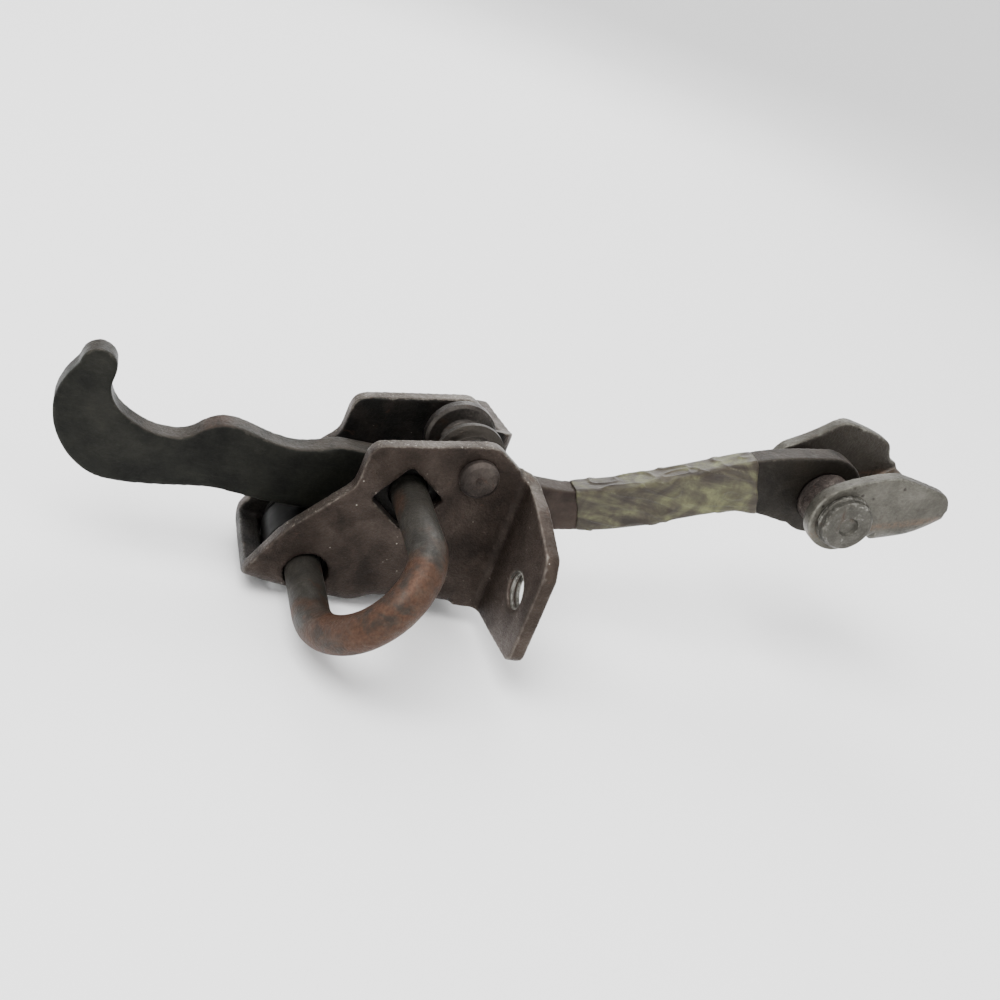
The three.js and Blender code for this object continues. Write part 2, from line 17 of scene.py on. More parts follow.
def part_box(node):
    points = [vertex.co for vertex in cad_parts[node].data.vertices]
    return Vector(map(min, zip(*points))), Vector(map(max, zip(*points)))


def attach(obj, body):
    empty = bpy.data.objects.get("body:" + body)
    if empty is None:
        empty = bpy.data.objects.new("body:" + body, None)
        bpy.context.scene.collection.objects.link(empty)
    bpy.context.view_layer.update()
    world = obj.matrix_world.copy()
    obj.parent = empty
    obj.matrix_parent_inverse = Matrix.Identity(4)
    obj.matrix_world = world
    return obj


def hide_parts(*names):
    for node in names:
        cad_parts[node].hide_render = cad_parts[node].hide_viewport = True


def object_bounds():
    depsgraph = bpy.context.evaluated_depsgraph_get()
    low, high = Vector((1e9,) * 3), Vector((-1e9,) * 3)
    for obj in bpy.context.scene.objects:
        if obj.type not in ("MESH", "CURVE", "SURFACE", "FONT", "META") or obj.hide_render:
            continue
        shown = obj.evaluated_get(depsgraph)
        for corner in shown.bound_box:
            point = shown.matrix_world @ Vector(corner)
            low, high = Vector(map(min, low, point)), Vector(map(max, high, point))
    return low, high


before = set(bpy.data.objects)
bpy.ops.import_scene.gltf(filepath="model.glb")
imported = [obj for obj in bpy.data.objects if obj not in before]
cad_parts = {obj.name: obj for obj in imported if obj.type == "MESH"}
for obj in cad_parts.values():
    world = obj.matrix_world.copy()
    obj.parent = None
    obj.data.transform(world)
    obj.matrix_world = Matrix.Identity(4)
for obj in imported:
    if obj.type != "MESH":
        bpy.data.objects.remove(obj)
CAD_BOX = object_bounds()
MM = 0.001


def middle(node):
    low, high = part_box(node)
    return (low + high) / 2


ROLLER_Z = -1.0
ORIGIN = Vector((
    middle("grooved_roller").x,
    middle("arm").y,
    middle("grooved_roller").z - ROLLER_Z * MM,
))
FLOOR_Z = CAD_BOX[0].z


def at(x, y, z):
    """A point in the frame, from millimetres in the drawing."""
    return ORIGIN + Vector((x, y, z)) * MM


# ---- dimensions, in millimetres ----
SIDES = ((-1, "near"), (1, "far"))
BELOW = -40.0
SHEET = 3.0
HALF = 12.2
INNER = HALF - SHEET
BEND_OUTER = 3.8
ARM_HALF = 2.5
EYE = {"x": 83.6, "z": 5.1, "radius": 9.6, "bore": 5.5}
PIN_RADIUS = 2.2
HUB_HALF = 6.9
ROD_RADIUS = 3.65
ANCHOR_LEG = {"x": -11.3, "z": -8.7, "end": -4.6}
FREE_LEG = {"x": -27.3, "z": -28.6, "end": 15.4}
ROD_REACH = {"anchor": -45.4, "free": -35.4}
ROD_BEND = {"anchor": 11.6, "free": 15.0}
CHANNEL = {"left": -38.6, "right": 8.5, "top": 14.0}
FAR_DROP = 0.75
FLANGE = {"reach": 34.4, "root": 4.0, "hole": 3.72, "y": 25.4, "z": -16.8}
FLANGE_BEND = {-1: {"face": 10.0, "inner": 1.5, "drop": 0.0}, 1: {"face": 11.2, "inner": 0.4, "drop": 2.2}}
THREAD = {"pitch": 1.25, "crest": 3.25, "root": 3.8}
SQUARE_HOLE = {"x": -12.0, "z": -8.8, "half": 5.1, "corner": 0.9, "turn": math.radians(54)}
ROD_HOLE = {"x": -26.8, "z": -28.8, "radius": 4.4}
WINDOW_HALF = 8.9
WINDOW = [(-32.4, BELOW), (-18.0, BELOW), (-18.0, -29), (-34.5, -29), (-34.4, -30.6), (-32.5, -33.8)]
DIMPLE = {"x": -14.0, "z": -26.9, "radius": 1.7, "depth": 0.35}
YOKE_TURN = math.radians(18)
WEB_OUTER = [(9.0, -7.8), (15.0, -7.8), (17.5, -7.6), (19.5, -7.2), (21.5, -6.5), (23.5, -5.7),
             (25.5, -4.8)]
YOKE_BOLT_HOLE = {"u": 17.9, "radius": 4.2}
YOKE_BORE = 3.75
TAPE = {"from": 24.0, "to": 68.5, "slant": 0.42}
ROD_BORE = 3.95
RIVET_FACE = HALF + 0.15


# ---- camera, stage and light ----
CAMERA = {"azimuth": 24.59, "elevation": 26.19, "roll": 21.73, "distance": 250.5, "lens": 43.2}
TARGET = (11.66, 0.0, -11.7)
LIGHTS = [
    ("key", (-0.35, -0.15, 0.85), 14.0, 0.7),
    ("fill", (0.6, -0.7, 0.5), 4.0, 0.8),
    ("rim", (0.2, 0.8, 0.6), 6.0, 0.6),
]


def add_camera():
    azimuth = math.radians(CAMERA["azimuth"])
    elevation = math.radians(CAMERA["elevation"])
    forward = Vector((
        math.sin(azimuth) * math.cos(elevation),
        math.cos(azimuth) * math.cos(elevation),
        -math.sin(elevation),
    ))
    data = bpy.data.cameras.new("camera")
    data.lens = CAMERA["lens"]
    data.sensor_width = 36.0
    data.clip_start = 0.005
    camera = bpy.data.objects.new("camera", data)
    bpy.context.scene.collection.objects.link(camera)
    turn = Quaternion(forward, -math.radians(CAMERA["roll"]))
    camera.rotation_mode = "QUATERNION"
    camera.rotation_quaternion = turn @ forward.to_track_quat("-Z", "Y")
    camera.location = at(*TARGET) - forward * CAMERA["distance"] * MM
    bpy.context.scene.camera = camera


def add_light(name, place, energy, size):
    data = bpy.data.lights.new(name, "AREA")
    data.energy = energy
    data.size = size
    light = bpy.data.objects.new(name, data)
    light.location = place
    light.rotation_mode = "QUATERNION"
    light.rotation_quaternion = (at(0, 0, -10) - Vector(place)).to_track_quat("-Z", "Y")
    bpy.context.scene.collection.objects.link(light)


def add_stage():
    """A round floor that curves up into a wall far away, and the lights."""
    flat, wall, height, steps, sides = 0.9, 2.4, 1.6, 14, 72
    profile = [(0.0, 0.0), (flat, 0.0)]
    for i in range(1, steps + 1):
        angle = math.pi / 2 * i / steps
        profile.append((flat + (wall - flat) * math.sin(angle), height * (1 - math.cos(angle))))
    vertices = [(0, 0, FLOOR_Z)]
    faces = []
    for radius, z in profile[1:]:
        for k in range(sides):
            angle = 2 * math.pi * k / sides
            vertices.append((radius * math.cos(angle), radius * math.sin(angle), FLOOR_Z + z))
    for k in range(sides):
        faces.append((0, 1 + k, 1 + (k + 1) % sides))
    for ring in range(len(profile) - 2):
        start = 1 + ring * sides
        for k in range(sides):
            n = (k + 1) % sides
            faces.append((start + k, start + sides + k, start + sides + n, start + n))
    mesh = bpy.data.meshes.new("floor")
    mesh.from_pydata(vertices, [], faces)
    mesh.shade_smooth()
    floor = bpy.data.objects.new("floor", mesh)
    bpy.context.scene.collection.objects.link(floor)
    node_material = Surface("floor_paint")
    mottle = node_material.noise(0.02, detail=2)
    tint = node_material.ramp(mottle, [(0.3, (0.91, 0.91, 0.91)), (0.7, (0.94, 0.94, 0.94))])
    node_material.done(color=tint, roughness=0.9)
    mesh.materials.append(node_material.material)

    world = bpy.data.worlds.new("sky")
    bpy.context.scene.world = world
    world.use_nodes = True
    background = world.node_tree.nodes["Background"]
    background.inputs["Color"].default_value = (1.0, 1.0, 1.0, 1)
    background.inputs["Strength"].default_value = 1.25
    for name, place, energy, size in LIGHTS:
        add_light(name, place, energy, size)


# ---- materials ----
class Surface:
    """A node material whose noises are sized in millimetres of the frame."""

    def __init__(self, name):
        self.material = bpy.data.materials.new(name)
        self.material.use_nodes = True
        self.nodes = self.material.node_tree.nodes
        self.links = self.material.node_tree.links
        self.shader = self.nodes["Principled BSDF"]
        place = self.nodes.new("ShaderNodeTexCoord").outputs["Object"]
        scaled = self.vector("SCALE", place, scale=1 / MM)
        self.space = self.vector("SUBTRACT", scaled, tuple(ORIGIN / MM))
        self.axes = self.split(self.space)

    def split(self, vector):
        node = self.nodes.new("ShaderNodeSeparateXYZ")
        self.links.new(vector, node.inputs[0])
        return node.outputs

    def facing(self):
        """The X, Y and Z parts of the surface's normal."""
        return self.split(self.nodes.new("ShaderNodeNewGeometry").outputs["Normal"])

    def upward(self, low, high):
        """From 0 to 1 where the surface faces up."""
        return self.fit(self.facing()["Z"], low, high)

    def off_middle(self):
        """The distance from the arm's middle plane, in millimetres."""
        return self.math("ABSOLUTE", self.axes["Y"])

    def vector(self, operation, a, b=None, scale=None):
        node = self.nodes.new("ShaderNodeVectorMath")
        node.operation = operation
        self.links.new(a, node.inputs[0])
        if b is not None:
            self.put(node.inputs[1], b)
        if scale is not None:
            node.inputs["Scale"].default_value = scale
        return node.outputs["Vector"]

    def put(self, socket, value):
        if isinstance(value, bpy.types.NodeSocket):
            self.links.new(value, socket)
        elif socket.type == "RGBA":
            shade = value if isinstance(value, tuple) else (value,) * 3
            socket.default_value = (*shade, 1)
        else:
            socket.default_value = value

    def noise(self, size, detail=4, roughness=0.55, stretch=(1, 1, 1), shift=0.0, warp=0.0):
        scale = tuple(1 / (size * s) for s in stretch)
        where = self.vector("MULTIPLY", self.space, scale)
        node = self.nodes.new("ShaderNodeTexNoise")
        if shift:
            where = self.vector("ADD", where, (shift, shift * 0.7, shift * 1.3))
        self.links.new(where, node.inputs["Vector"])
        node.inputs["Scale"].default_value = 1.0
        node.inputs["Detail"].default_value = detail
        node.inputs["Roughness"].default_value = roughness
        node.inputs["Distortion"].default_value = warp
        return node.outputs["Fac"]

    def cells(self, size):
        """The distance to the nearest of many scattered points."""
        node = self.nodes.new("ShaderNodeTexVoronoi")
        self.links.new(self.vector("SCALE", self.space, scale=1 / size), node.inputs["Vector"])
        node.inputs["Scale"].default_value = 1.0
        return node.outputs["Distance"]

    def attribute(self, name):
        node = self.nodes.new("ShaderNodeAttribute")
        node.attribute_name = name
        return node.outputs["Fac"]

    def ramp(self, value, stops):
        node = self.nodes.new("ShaderNodeValToRGB")
        elements = node.color_ramp.elements
        while len(elements) < len(stops):
            elements.new(0.5)
        for element, (position, color) in zip(elements, stops):
            shade = (color,) * 3 if isinstance(color, (int, float)) else color
            element.position = position
            element.color = (*shade, 1)
        self.links.new(value, node.inputs["Fac"])
        return node.outputs["Color"]

    def mix(self, share, a, b):
        node = self.nodes.new("ShaderNodeMix")
        node.data_type = "RGBA"
        self.put(node.inputs["Factor"], share)
        self.put(node.inputs["A"], a)
        self.put(node.inputs["B"], b)
        return node.outputs["Result"]

    def math(self, operation, a, b=0.0):
        node = self.nodes.new("ShaderNodeMath")
        node.operation = operation
        for socket, value in zip(node.inputs, (a, b)):
            self.put(socket, value)
        return node.outputs["Value"]

    def fit(self, value, low, high, to_low=0.0, to_high=1.0):
        node = self.nodes.new("ShaderNodeMapRange")
        self.put(node.inputs["Value"], value)
        node.inputs["From Min"].default_value = low
        node.inputs["From Max"].default_value = high
        node.inputs["To Min"].default_value = to_low
        node.inputs["To Max"].default_value = to_high
        return node.outputs["Result"]

    def bump(self, height, depth, below=None):
        """height runs from 0 to 1, and depth is in millimetres."""
        node = self.nodes.new("ShaderNodeBump")
        node.inputs["Strength"].default_value = 1.0
        node.inputs["Distance"].default_value = depth * MM
        self.put(node.inputs["Height"], height)
        if below is not None:
            self.links.new(below, node.inputs["Normal"])
        return node.outputs["Normal"]

    def done(self, **sockets):
        names = {
            "color": "Base Color",
            "roughness": "Roughness",
            "metallic": "Metallic",
            "normal": "Normal",
            "coat": "Coat Weight",
            "coat_roughness": "Coat Roughness",
            "specular": "Specular IOR Level",
        }
        for name, value in sockets.items():
            self.put(self.shader.inputs[names[name]], value)
        return self.material


def worn_steel(name, dark, mid, light, zones=None, rust=None, rust_share=0.6, rough=(0.42, 0.7),
               metallic=0.75, grime=2.6, pits=0.05, edge=None, edge_at=(0.35, 0.9), specular=0.5):
    """Bare or blackened steel: soft blotches, fine grain, pits, rust patches, rubbed edges and painted shade
    in hollows.
    """
    s = Surface(name)
    blotch = s.noise(grime * 2.8, detail=5, roughness=0.55, warp=0.3)
    grain = s.noise(grime * 0.2, detail=5, roughness=0.7, shift=9.1)
    film = s.math("ADD", s.math("MULTIPLY", blotch, 0.72), s.math("MULTIPLY", grain, 0.28))
    color = s.ramp(film, [(0.36, dark), (0.5, mid), (0.66, light)])
    roughness = s.fit(film, 0.35, 0.65, rough[1], rough[0])
    if zones is not None:
        color = zones(s, color, blotch, grain)
    if rust is not None:
        patch = s.noise(grime * 1.7, detail=7, roughness=0.68, shift=31.0, warp=0.8)
        share = s.fit(patch, rust_share, rust_share + 0.14)
        color = s.mix(share, color, rust)
        roughness = s.math("MAXIMUM", roughness, s.math("MULTIPLY", share, 0.78))
    rim = s.attribute("edge")
    scuff = s.noise(grime * 0.5, detail=6, roughness=0.7, shift=52.0)
    if edge is not None:
        ragged = s.math("ADD", rim, s.fit(scuff, 0.3, 0.7, -0.4, 0.3))
        wear = s.math("MULTIPLY", s.fit(ragged, *edge_at), s.fit(blotch, 0.4, 0.56, 0.25, 1.0))
        color = s.mix(wear, color, edge)
        roughness = s.mix(wear, roughness, 0.36)
    # painted shade: concave creases and recesses darkened towards a third of the dark tone
    painted_hollow_shade = s.fit(rim, -0.1, -0.7)
    color = s.mix(painted_hollow_shade, color, tuple(c * 0.35 for c in dark))
    pit = s.fit(s.noise(0.75, detail=5, roughness=0.65, shift=71.0), 0.42, 0.56)
    normal = s.bump(grain, pits * 0.55)
    normal = s.bump(pit, pits, below=normal)
    return s.done(color=color, roughness=roughness, metallic=metallic, normal=normal,
                  specular=specular)


def sheet_zones(s, color, blotch, grain):
    """Grease plus painted shade inside the channel, painted light on upward faces, grey flanges with brown
    rims, and bright specks.
    """
    # painted light: upward-facing faces lightened, in blotchy patches
    top = s.math("MULTIPLY", s.upward(0.5, 0.85), s.fit(blotch, 0.36, 0.6, 0.3, 0.8))
    color = s.mix(top, color, (0.085, 0.074, 0.062))
    chips = s.math("MULTIPLY", s.fit(grain, 0.6, 0.66), s.upward(0.3, 0.7))
    color = s.mix(chips, color, (0.3, 0.275, 0.23))
    flanges = s.fit(s.off_middle(), 15.0, 22.0)
    grey = s.ramp(blotch, [(0.4, (0.045, 0.034, 0.028)), (0.6, (0.09, 0.07, 0.06))])
    color = s.mix(flanges, color, grey)
    rim = s.math("MULTIPLY", s.fit(s.math("ABSOLUTE", s.facing()["X"]), 0.65, 0.35), flanges)
    brown = s.ramp(blotch, [(0.4, (0.026, 0.0175, 0.0125)), (0.6, (0.044, 0.0315, 0.024))])
    color = s.mix(rim, color, brown)
    # grease plus painted shade: faces inside the channel, within 9.3 mm of the middle plane, go near-black
    grease_and_shade = s.ramp(blotch, [(0.42, (0.0075, 0.007, 0.006)), (0.64, (0.024, 0.02, 0.017))])
    color = s.mix(s.fit(s.off_middle(), 9.6, 9.3), color, grease_and_shade)
    specks = s.fit(s.cells(1.9), 0.11, 0.05)
    return s.mix(s.math("MULTIPLY", specks, s.fit(blotch, 0.5, 0.6)), color, (0.34, 0.31, 0.27))


def arm_zones(s, color, blotch, grain):
    """Greenish black, brown just right of the housing, and wear plus painted light on upward faces along the
    cam edge.
    """
    place = s.math("ADD", s.axes["X"], s.fit(blotch, 0.3, 0.7, -5.0, 5.0))
    brown = s.math("MULTIPLY", s.fit(place, 2.0, 12.0), s.fit(place, 66.0, 44.0, 0.25, 1.0))
    tint = s.ramp(blotch, [(0.38, (0.019, 0.0125, 0.01)), (0.62, (0.038, 0.027, 0.021))])
    color = s.mix(brown, color, tint)
    streak = s.noise(1.1, detail=5, roughness=0.65, stretch=(7, 7, 1), shift=5.0)
    color = s.mix(s.fit(streak, 0.58, 0.74, 0.0, 0.22), color, (0.03, 0.029, 0.023))
    # wear plus painted light: upward faces lightened in streaks along the cam edge
    worn = s.math("MULTIPLY", s.upward(0.5, 0.9), s.fit(streak, 0.36, 0.58, 0.1, 0.7))
    color = s.mix(worn, color, (0.034, 0.027, 0.021))
    hump = s.fit(s.math("ABSOLUTE", s.math("ADD", s.axes["X"], 49.0)), 4.0, 1.5, 0.0, 0.6)
    return s.mix(s.math("MULTIPLY", hump, worn), color, (0.05, 0.026, 0.018))


def rod_zones(s, color, blotch, grain):
    """Dark oily legs and a rusty loop."""
    outward = s.math("ADD", s.axes["Y"], s.fit(blotch, 0.3, 0.7, -12.0, 12.0))
    loop = s.fit(outward, -22.0, -34.0, 0.05, 0.92)
    rusty = s.ramp(grain, [(0.34, (0.036, 0.0155, 0.008)), (0.66, (0.066, 0.031, 0.017))])
    color = s.mix(loop, color, rusty)
    soot = s.fit(s.noise(5.0, detail=4, roughness=0.6, shift=22.0, warp=0.5), 0.5, 0.64, 0.0, 0.75)
    return s.mix(soot, color, (0.017, 0.0155, 0.013))


def roller_zones(s, color, blotch, grain):
    """A groove rubbed bright by the arm, and a dark near rim."""
    groove = s.math("MULTIPLY", s.fit(s.off_middle(), 2.4, 1.6), s.fit(grain, 0.3, 0.6, 0.5, 1.0))
    color = s.mix(groove, color, (0.105, 0.092, 0.08))
    return s.mix(s.fit(s.axes["Y"], -2.9, -3.5), color, (0.026, 0.022, 0.018))


def yoke_zones(s, color, blotch, grain):
    """Browner inner faces, dark pits and a rusty line along the bend."""
    color = s.mix(s.fit(s.off_middle(), 9.7, 9.2, 0.0, 0.8), color, (0.03, 0.0245, 0.0195))
    pits = s.math("MULTIPLY", s.fit(s.cells(2.6), 0.2, 0.1), s.fit(blotch, 0.44, 0.54))
    color = s.mix(pits, color, (0.025, 0.021, 0.017))
    cos, sin = math.cos(YOKE_TURN), math.sin(YOKE_TURN)
    along = s.math("MULTIPLY", s.axes["X"], -sin)
    height = s.math("ADD", along, s.math("MULTIPLY", s.axes["Z"], cos))
    below_pin = 2.9
    fold = s.math("ADD", height, sin * EYE["x"] - cos * EYE["z"] + below_pin)
    line = s.math("MULTIPLY", s.fit(s.math("ABSOLUTE", fold), 1.2, 0.3), s.fit(grain, 0.4, 0.55))
    return s.mix(s.math("MULTIPLY", line, 0.6), color, (0.1, 0.062, 0.04))


def make_materials():
    steel = {
        "sheet_steel": worn_steel(
            "sheet_steel", (0.0155, 0.0105, 0.008), (0.032, 0.0225, 0.0175), (0.056, 0.042, 0.034),
            zones=sheet_zones, rust=(0.055, 0.03, 0.019), rust_share=0.62, edge=(0.17, 0.152, 0.13),
            edge_at=(0.45, 1.1), rough=(0.36, 0.62)),
        "arm_steel": worn_steel(
            "arm_steel", (0.003, 0.0032, 0.0024), (0.0065, 0.0068, 0.005), (0.012, 0.0118, 0.009),
            zones=arm_zones, rough=(0.4, 0.62), metallic=0.3, edge=(0.06, 0.053, 0.043),
            edge_at=(0.5, 1.2), pits=0.03, specular=0.16),
        "spring_steel": worn_steel(
            "spring_steel", (0.012, 0.0117, 0.0098), (0.024, 0.023, 0.0195), (0.04, 0.038, 0.033),
            zones=rod_zones, rust=(0.06, 0.03, 0.018), rust_share=0.62, rough=(0.4, 0.62),
            metallic=0.5, edge=(0.055, 0.044, 0.034), edge_at=(0.5, 1.2), pits=0.025, specular=0.3,
            grime=3.4),
        "roller_steel": worn_steel(
            "roller_steel", (0.011, 0.0095, 0.008), (0.028, 0.024, 0.021), (0.058, 0.051, 0.045),
            zones=roller_zones, rust=(0.04, 0.024, 0.016), rough=(0.3, 0.52), metallic=0.8,
            edge=(0.12, 0.108, 0.094), pits=0.03),
        "rivet_steel": worn_steel(
            "rivet_steel", (0.026, 0.024, 0.0195), (0.052, 0.049, 0.041), (0.09, 0.086, 0.074),
            rust=(0.05, 0.034, 0.025), rough=(0.34, 0.6), metallic=0.75,
            edge=(0.42, 0.41, 0.37), edge_at=(0.12, 0.6), pits=0.05),
        "pin_steel": worn_steel(
            "pin_steel", (0.02, 0.0155, 0.013), (0.042, 0.033, 0.028), (0.068, 0.056, 0.048),
            rust=(0.05, 0.029, 0.02), rough=(0.38, 0.6), metallic=0.75,
            edge=(0.12, 0.105, 0.09), pits=0.04),
        "ring_steel": worn_steel(
            "ring_steel", (0.012, 0.0095, 0.008), (0.045, 0.034, 0.029), (0.13, 0.108, 0.092),
            rust=(0.06, 0.032, 0.023), rust_share=0.56, rough=(0.36, 0.66), metallic=0.65,
            edge=(0.2, 0.17, 0.145), pits=0.16, grime=1.6),
        # grease plus painted shade: near-black steel for the rings set deep inside the channel
        "greased_shaded_steel": worn_steel(
            "greased_shaded_steel", (0.004, 0.0037, 0.0032), (0.0075, 0.0068, 0.0058),
            (0.014, 0.0125, 0.0105), rough=(0.4, 0.6), metallic=0.4, pits=0.05, specular=0.2),
        "yoke_steel": worn_steel(
            "yoke_steel", (0.034, 0.0305, 0.0245), (0.062, 0.058, 0.0475), (0.1, 0.095, 0.079),
            zones=yoke_zones, rust=(0.05, 0.036, 0.027), rust_share=0.6, rough=(0.36, 0.58),
            metallic=0.7, edge=(0.2, 0.194, 0.165), edge_at=(0.3, 0.95), pits=0.04, grime=3.2),
    }
    nylon = Surface("black_nylon")
    haze = nylon.noise(3.0, detail=4)
    steel["black_nylon"] = nylon.done(
        color=nylon.ramp(haze, [(0.4, (0.0015, 0.0015, 0.0015)), (0.7, (0.004, 0.0038, 0.0035))]),
        roughness=nylon.fit(haze, 0.35, 0.7, 0.3, 0.5), specular=0.05,
        normal=nylon.bump(nylon.noise(0.9, detail=5), 0.02))
    steel["clear_tape"] = tape_film()
    return steel


def tape_film():
    """Yellowed clear tape: olive streaks along the arm, painted highlights on crease ridges, painted shade
    in crease hollows, dark steel below.
    """
    s = Surface("clear_tape")
    streak = s.noise(3.2, detail=5, roughness=0.55, stretch=(4, 1, 1), warp=0.9)
    cloud = s.noise(9.0, detail=5, roughness=0.6, shift=14.0, warp=0.9)
    body = s.math("ADD", s.math("MULTIPLY", streak, 0.4), s.math("MULTIPLY", cloud, 0.6))
    color = s.ramp(body, [
        (0.38, (0.02, 0.0155, 0.012)),
        (0.46, (0.036, 0.03, 0.021)),
        (0.53, (0.062, 0.058, 0.034)),
        (0.62, (0.115, 0.118, 0.056)),
    ])
    low = s.fit(s.noise(6.0, detail=4, shift=40.0, warp=0.8), 0.48, 0.62, 0.0, 0.85)
    bare = s.ramp(streak, [(0.4, (0.024, 0.018, 0.013)), (0.6, (0.052, 0.043, 0.031))])
    color = s.mix(low, color, bare)
    crease = s.attribute("edge")
    # painted highlight: pale along the tape's convex crease ridges
    fold = s.fit(s.math("ADD", crease, s.fit(streak, 0.3, 0.7, -0.3, 0.3)), 0.4, 1.0)
    color = s.mix(s.math("MULTIPLY", fold, 0.5), color, (0.16, 0.158, 0.11))
    # painted shade: darker in the tape's concave creases
    color = s.mix(s.fit(crease, -0.15, -0.8, 0.0, 0.7), color, (0.02, 0.017, 0.01))
    fine = s.noise(0.8, detail=5, roughness=0.6, stretch=(5, 1, 1), shift=3.0, warp=1.5)
    normal = s.bump(fine, 0.1)
    return s.done(color=color, roughness=s.fit(cloud, 0.35, 0.65, 0.32, 0.5), specular=0.16,
                  coat=0.05, coat_roughness=0.15, normal=normal)


# ---- outlines, in millimetres ----
def arc(x, y, radius, start, end, steps=10):
    """Points round a circle from one angle to another, in radians."""
    return [
        (x + radius * math.cos(start + (end - start) * i / steps),
         y + radius * math.sin(start + (end - start) * i / steps))
        for i in range(steps + 1)
    ]


HOLE_SIDES = 48


def circle(x, y, radius):
    return arc(x, y, radius, 0, 2 * math.pi, HOLE_SIDES)[:-1]


def corner_arc(before, corner, after, radius):
    """A rounding's centre, the ways from it to both its ends, and half the corner's angle."""
    back, on = (before - corner).normalized(), (after - corner).normalized()
    half = back.angle(on) / 2
    centre = corner + (back + on).normalized() * (radius / math.sin(half))
    start = corner + back * (radius / math.tan(half)) - centre
    end = corner + on * (radius / math.tan(half)) - centre
    return centre, start, end, half


def rounded(corners, steps=10):
    """A closed outline of (a, b, radius) corners, each rounded by its radius."""
    outline = []
    for i, (a, b, radius) in enumerate(corners):
        if radius <= 0:
            outline.append((a, b))
            continue
        before, after = Vector(corners[i - 1][:2]), Vector(corners[(i + 1) % len(corners)][:2])
        centre, start, end, _ = corner_arc(before, Vector((a, b)), after, radius)
        first = math.atan2(start.y, start.x)
        sweep = math.remainder(math.atan2(end.y, end.x) - first, 2 * math.pi)
        outline += arc(centre.x, centre.y, radius, first, first + sweep, steps)
    return outline


def spline(points, per_span=8):
    """A smooth curve through every point."""
    padded = [points[0], *points, points[-1]]
    curve = []
    for p0, p1, p2, p3 in zip(padded, padded[1:], padded[2:], padded[3:]):
        for i in range(per_span):
            t = i / per_span
            curve.append(tuple(
                0.5 * (2 * b + (c - a) * t + (2 * a - 5 * b + 4 * c - d) * t * t
                       + (3 * b - a - 3 * c + d) * t ** 3)
                for a, b, c, d in zip(p0, p1, p2, p3)
            ))
    return [*curve, tuple(points[-1])]


# ---- mesh tools ----
def along_y(u, v, w):
    return at(u, w, v)


def along_x(u, v, w):
    return at(w, u, v)


def new_object(name, vertices, faces):
    mesh = bpy.data.meshes.new(name)
    mesh.from_pydata([tuple(v) for v in vertices], [], faces)
    made = bpy.data.objects.new(name, mesh)
    bpy.context.scene.collection.objects.link(made)
    shell = bmesh.new()
    shell.from_mesh(mesh)
    bmesh.ops.remove_doubles(shell, verts=shell.verts, dist=1e-7)
    bmesh.ops.recalc_face_normals(shell, faces=shell.faces)
    shell.to_mesh(mesh)
    shell.free()
    return made


def prism(name, outline, low, high, place=along_y):
    """A closed outline (u, v), pushed along w from low to high."""
    count = len(outline)
    vertices = [place(u, v, w) for w in (low, high) for u, v in outline]
    faces = [tuple(range(count)), tuple(range(count, 2 * count))]
    faces += [(i, (i + 1) % count, count + (i + 1) % count, count + i) for i in range(count)]
    return new_object(name, vertices, faces)


def loft(name, rings, closed_path=False):
    """Equal-sized closed rings of points, joined in order, with flat ends."""
    size = len(rings[0])
    vertices = [p for ring in rings for p in ring]
    faces = []
    spans = len(rings) if closed_path else len(rings) - 1
    for s in range(spans):
        here, there = s * size, ((s + 1) % len(rings)) * size
        for i in range(size):
            n = (i + 1) % size
            faces.append((here + i, here + n, there + n, there + i))
    if not closed_path:
        faces.append(tuple(range(size)))
        faces.append(tuple(range(len(vertices) - size, len(vertices))))
    return new_object(name, vertices, faces)


def settle(made):
    """Applies an object's modifiers to its mesh."""
    graph = bpy.context.evaluated_depsgraph_get()
    graph.update()
    mesh = bpy.data.meshes.new_from_object(made.evaluated_get(graph))
    made.modifiers.clear()
    old = made.data
    made.data = mesh
    bpy.data.meshes.remove(old)
    return made


def combine(made, tool, operation):
    boolean = made.modifiers.new("boolean", "BOOLEAN")
    boolean.operation = operation
    boolean.solver = "EXACT"
    boolean.object = tool
    settle(made)
    bpy.data.objects.remove(tool)
    return made


def coordinates(mesh):
    flat = np.empty(len(mesh.vertices) * 3, np.float32)
    mesh.vertices.foreach_get("co", flat)
    return flat.reshape(-1, 3).astype(float)


def normals(mesh):
    flat = np.empty(len(mesh.vertices) * 3, np.float32)
    mesh.vertex_normals.foreach_get("vector", flat)
    return flat.reshape(-1, 3).astype(float)


HASH = (73856093, 19349663, 83492791)
HASH_SEED = 2654435
HASH_MIX = (1103515245, 12345)
HASH_MASK = 0x7FFFFFFF


def noise(points, size, seed):
    """Smooth noise from -1 to 1 at points in millimetres, with features of that size."""
    scaled = points / size + seed * 17.31
    cell = np.floor(scaled).astype(np.int64)
    share = scaled - cell
    share = share * share * (3 - 2 * share)
    total = np.zeros(len(points))
    for corner in product((0, 1), repeat=3):
        key = (cell + corner) * HASH
        mixed = (key[:, 0] ^ key[:, 1] ^ key[:, 2] ^ (seed * HASH_SEED)) & HASH_MASK
        mixed = (mixed * HASH_MIX[0] + HASH_MIX[1]) & HASH_MASK
        weight = np.prod(np.where(corner, share, 1 - share), axis=1)
        total += weight * (mixed / (HASH_MASK // 2) - 1)
    return total


def smoothed(mesh, points, rounds):
    """Points moved towards their neighbours' mean."""
    ends = np.empty(len(mesh.edges) * 2, np.int32)
    mesh.edges.foreach_get("vertices", ends)
    a, b = ends[0::2], ends[1::2]
    count = np.bincount(ends, minlength=len(points)).astype(float)[:, None]
    for _ in range(rounds):
        total = np.stack([
            np.bincount(a, points[b, k], len(points)) + np.bincount(b, points[a, k], len(points))
            for k in range(3)
        ], axis=1)
        points = points + 0.5 * (total / count - points)
    return points


SHARPEST = 0.22  # how far, in millimetres, smoothing moves a fully sharp edge
CHIP_SIZE = 1.3


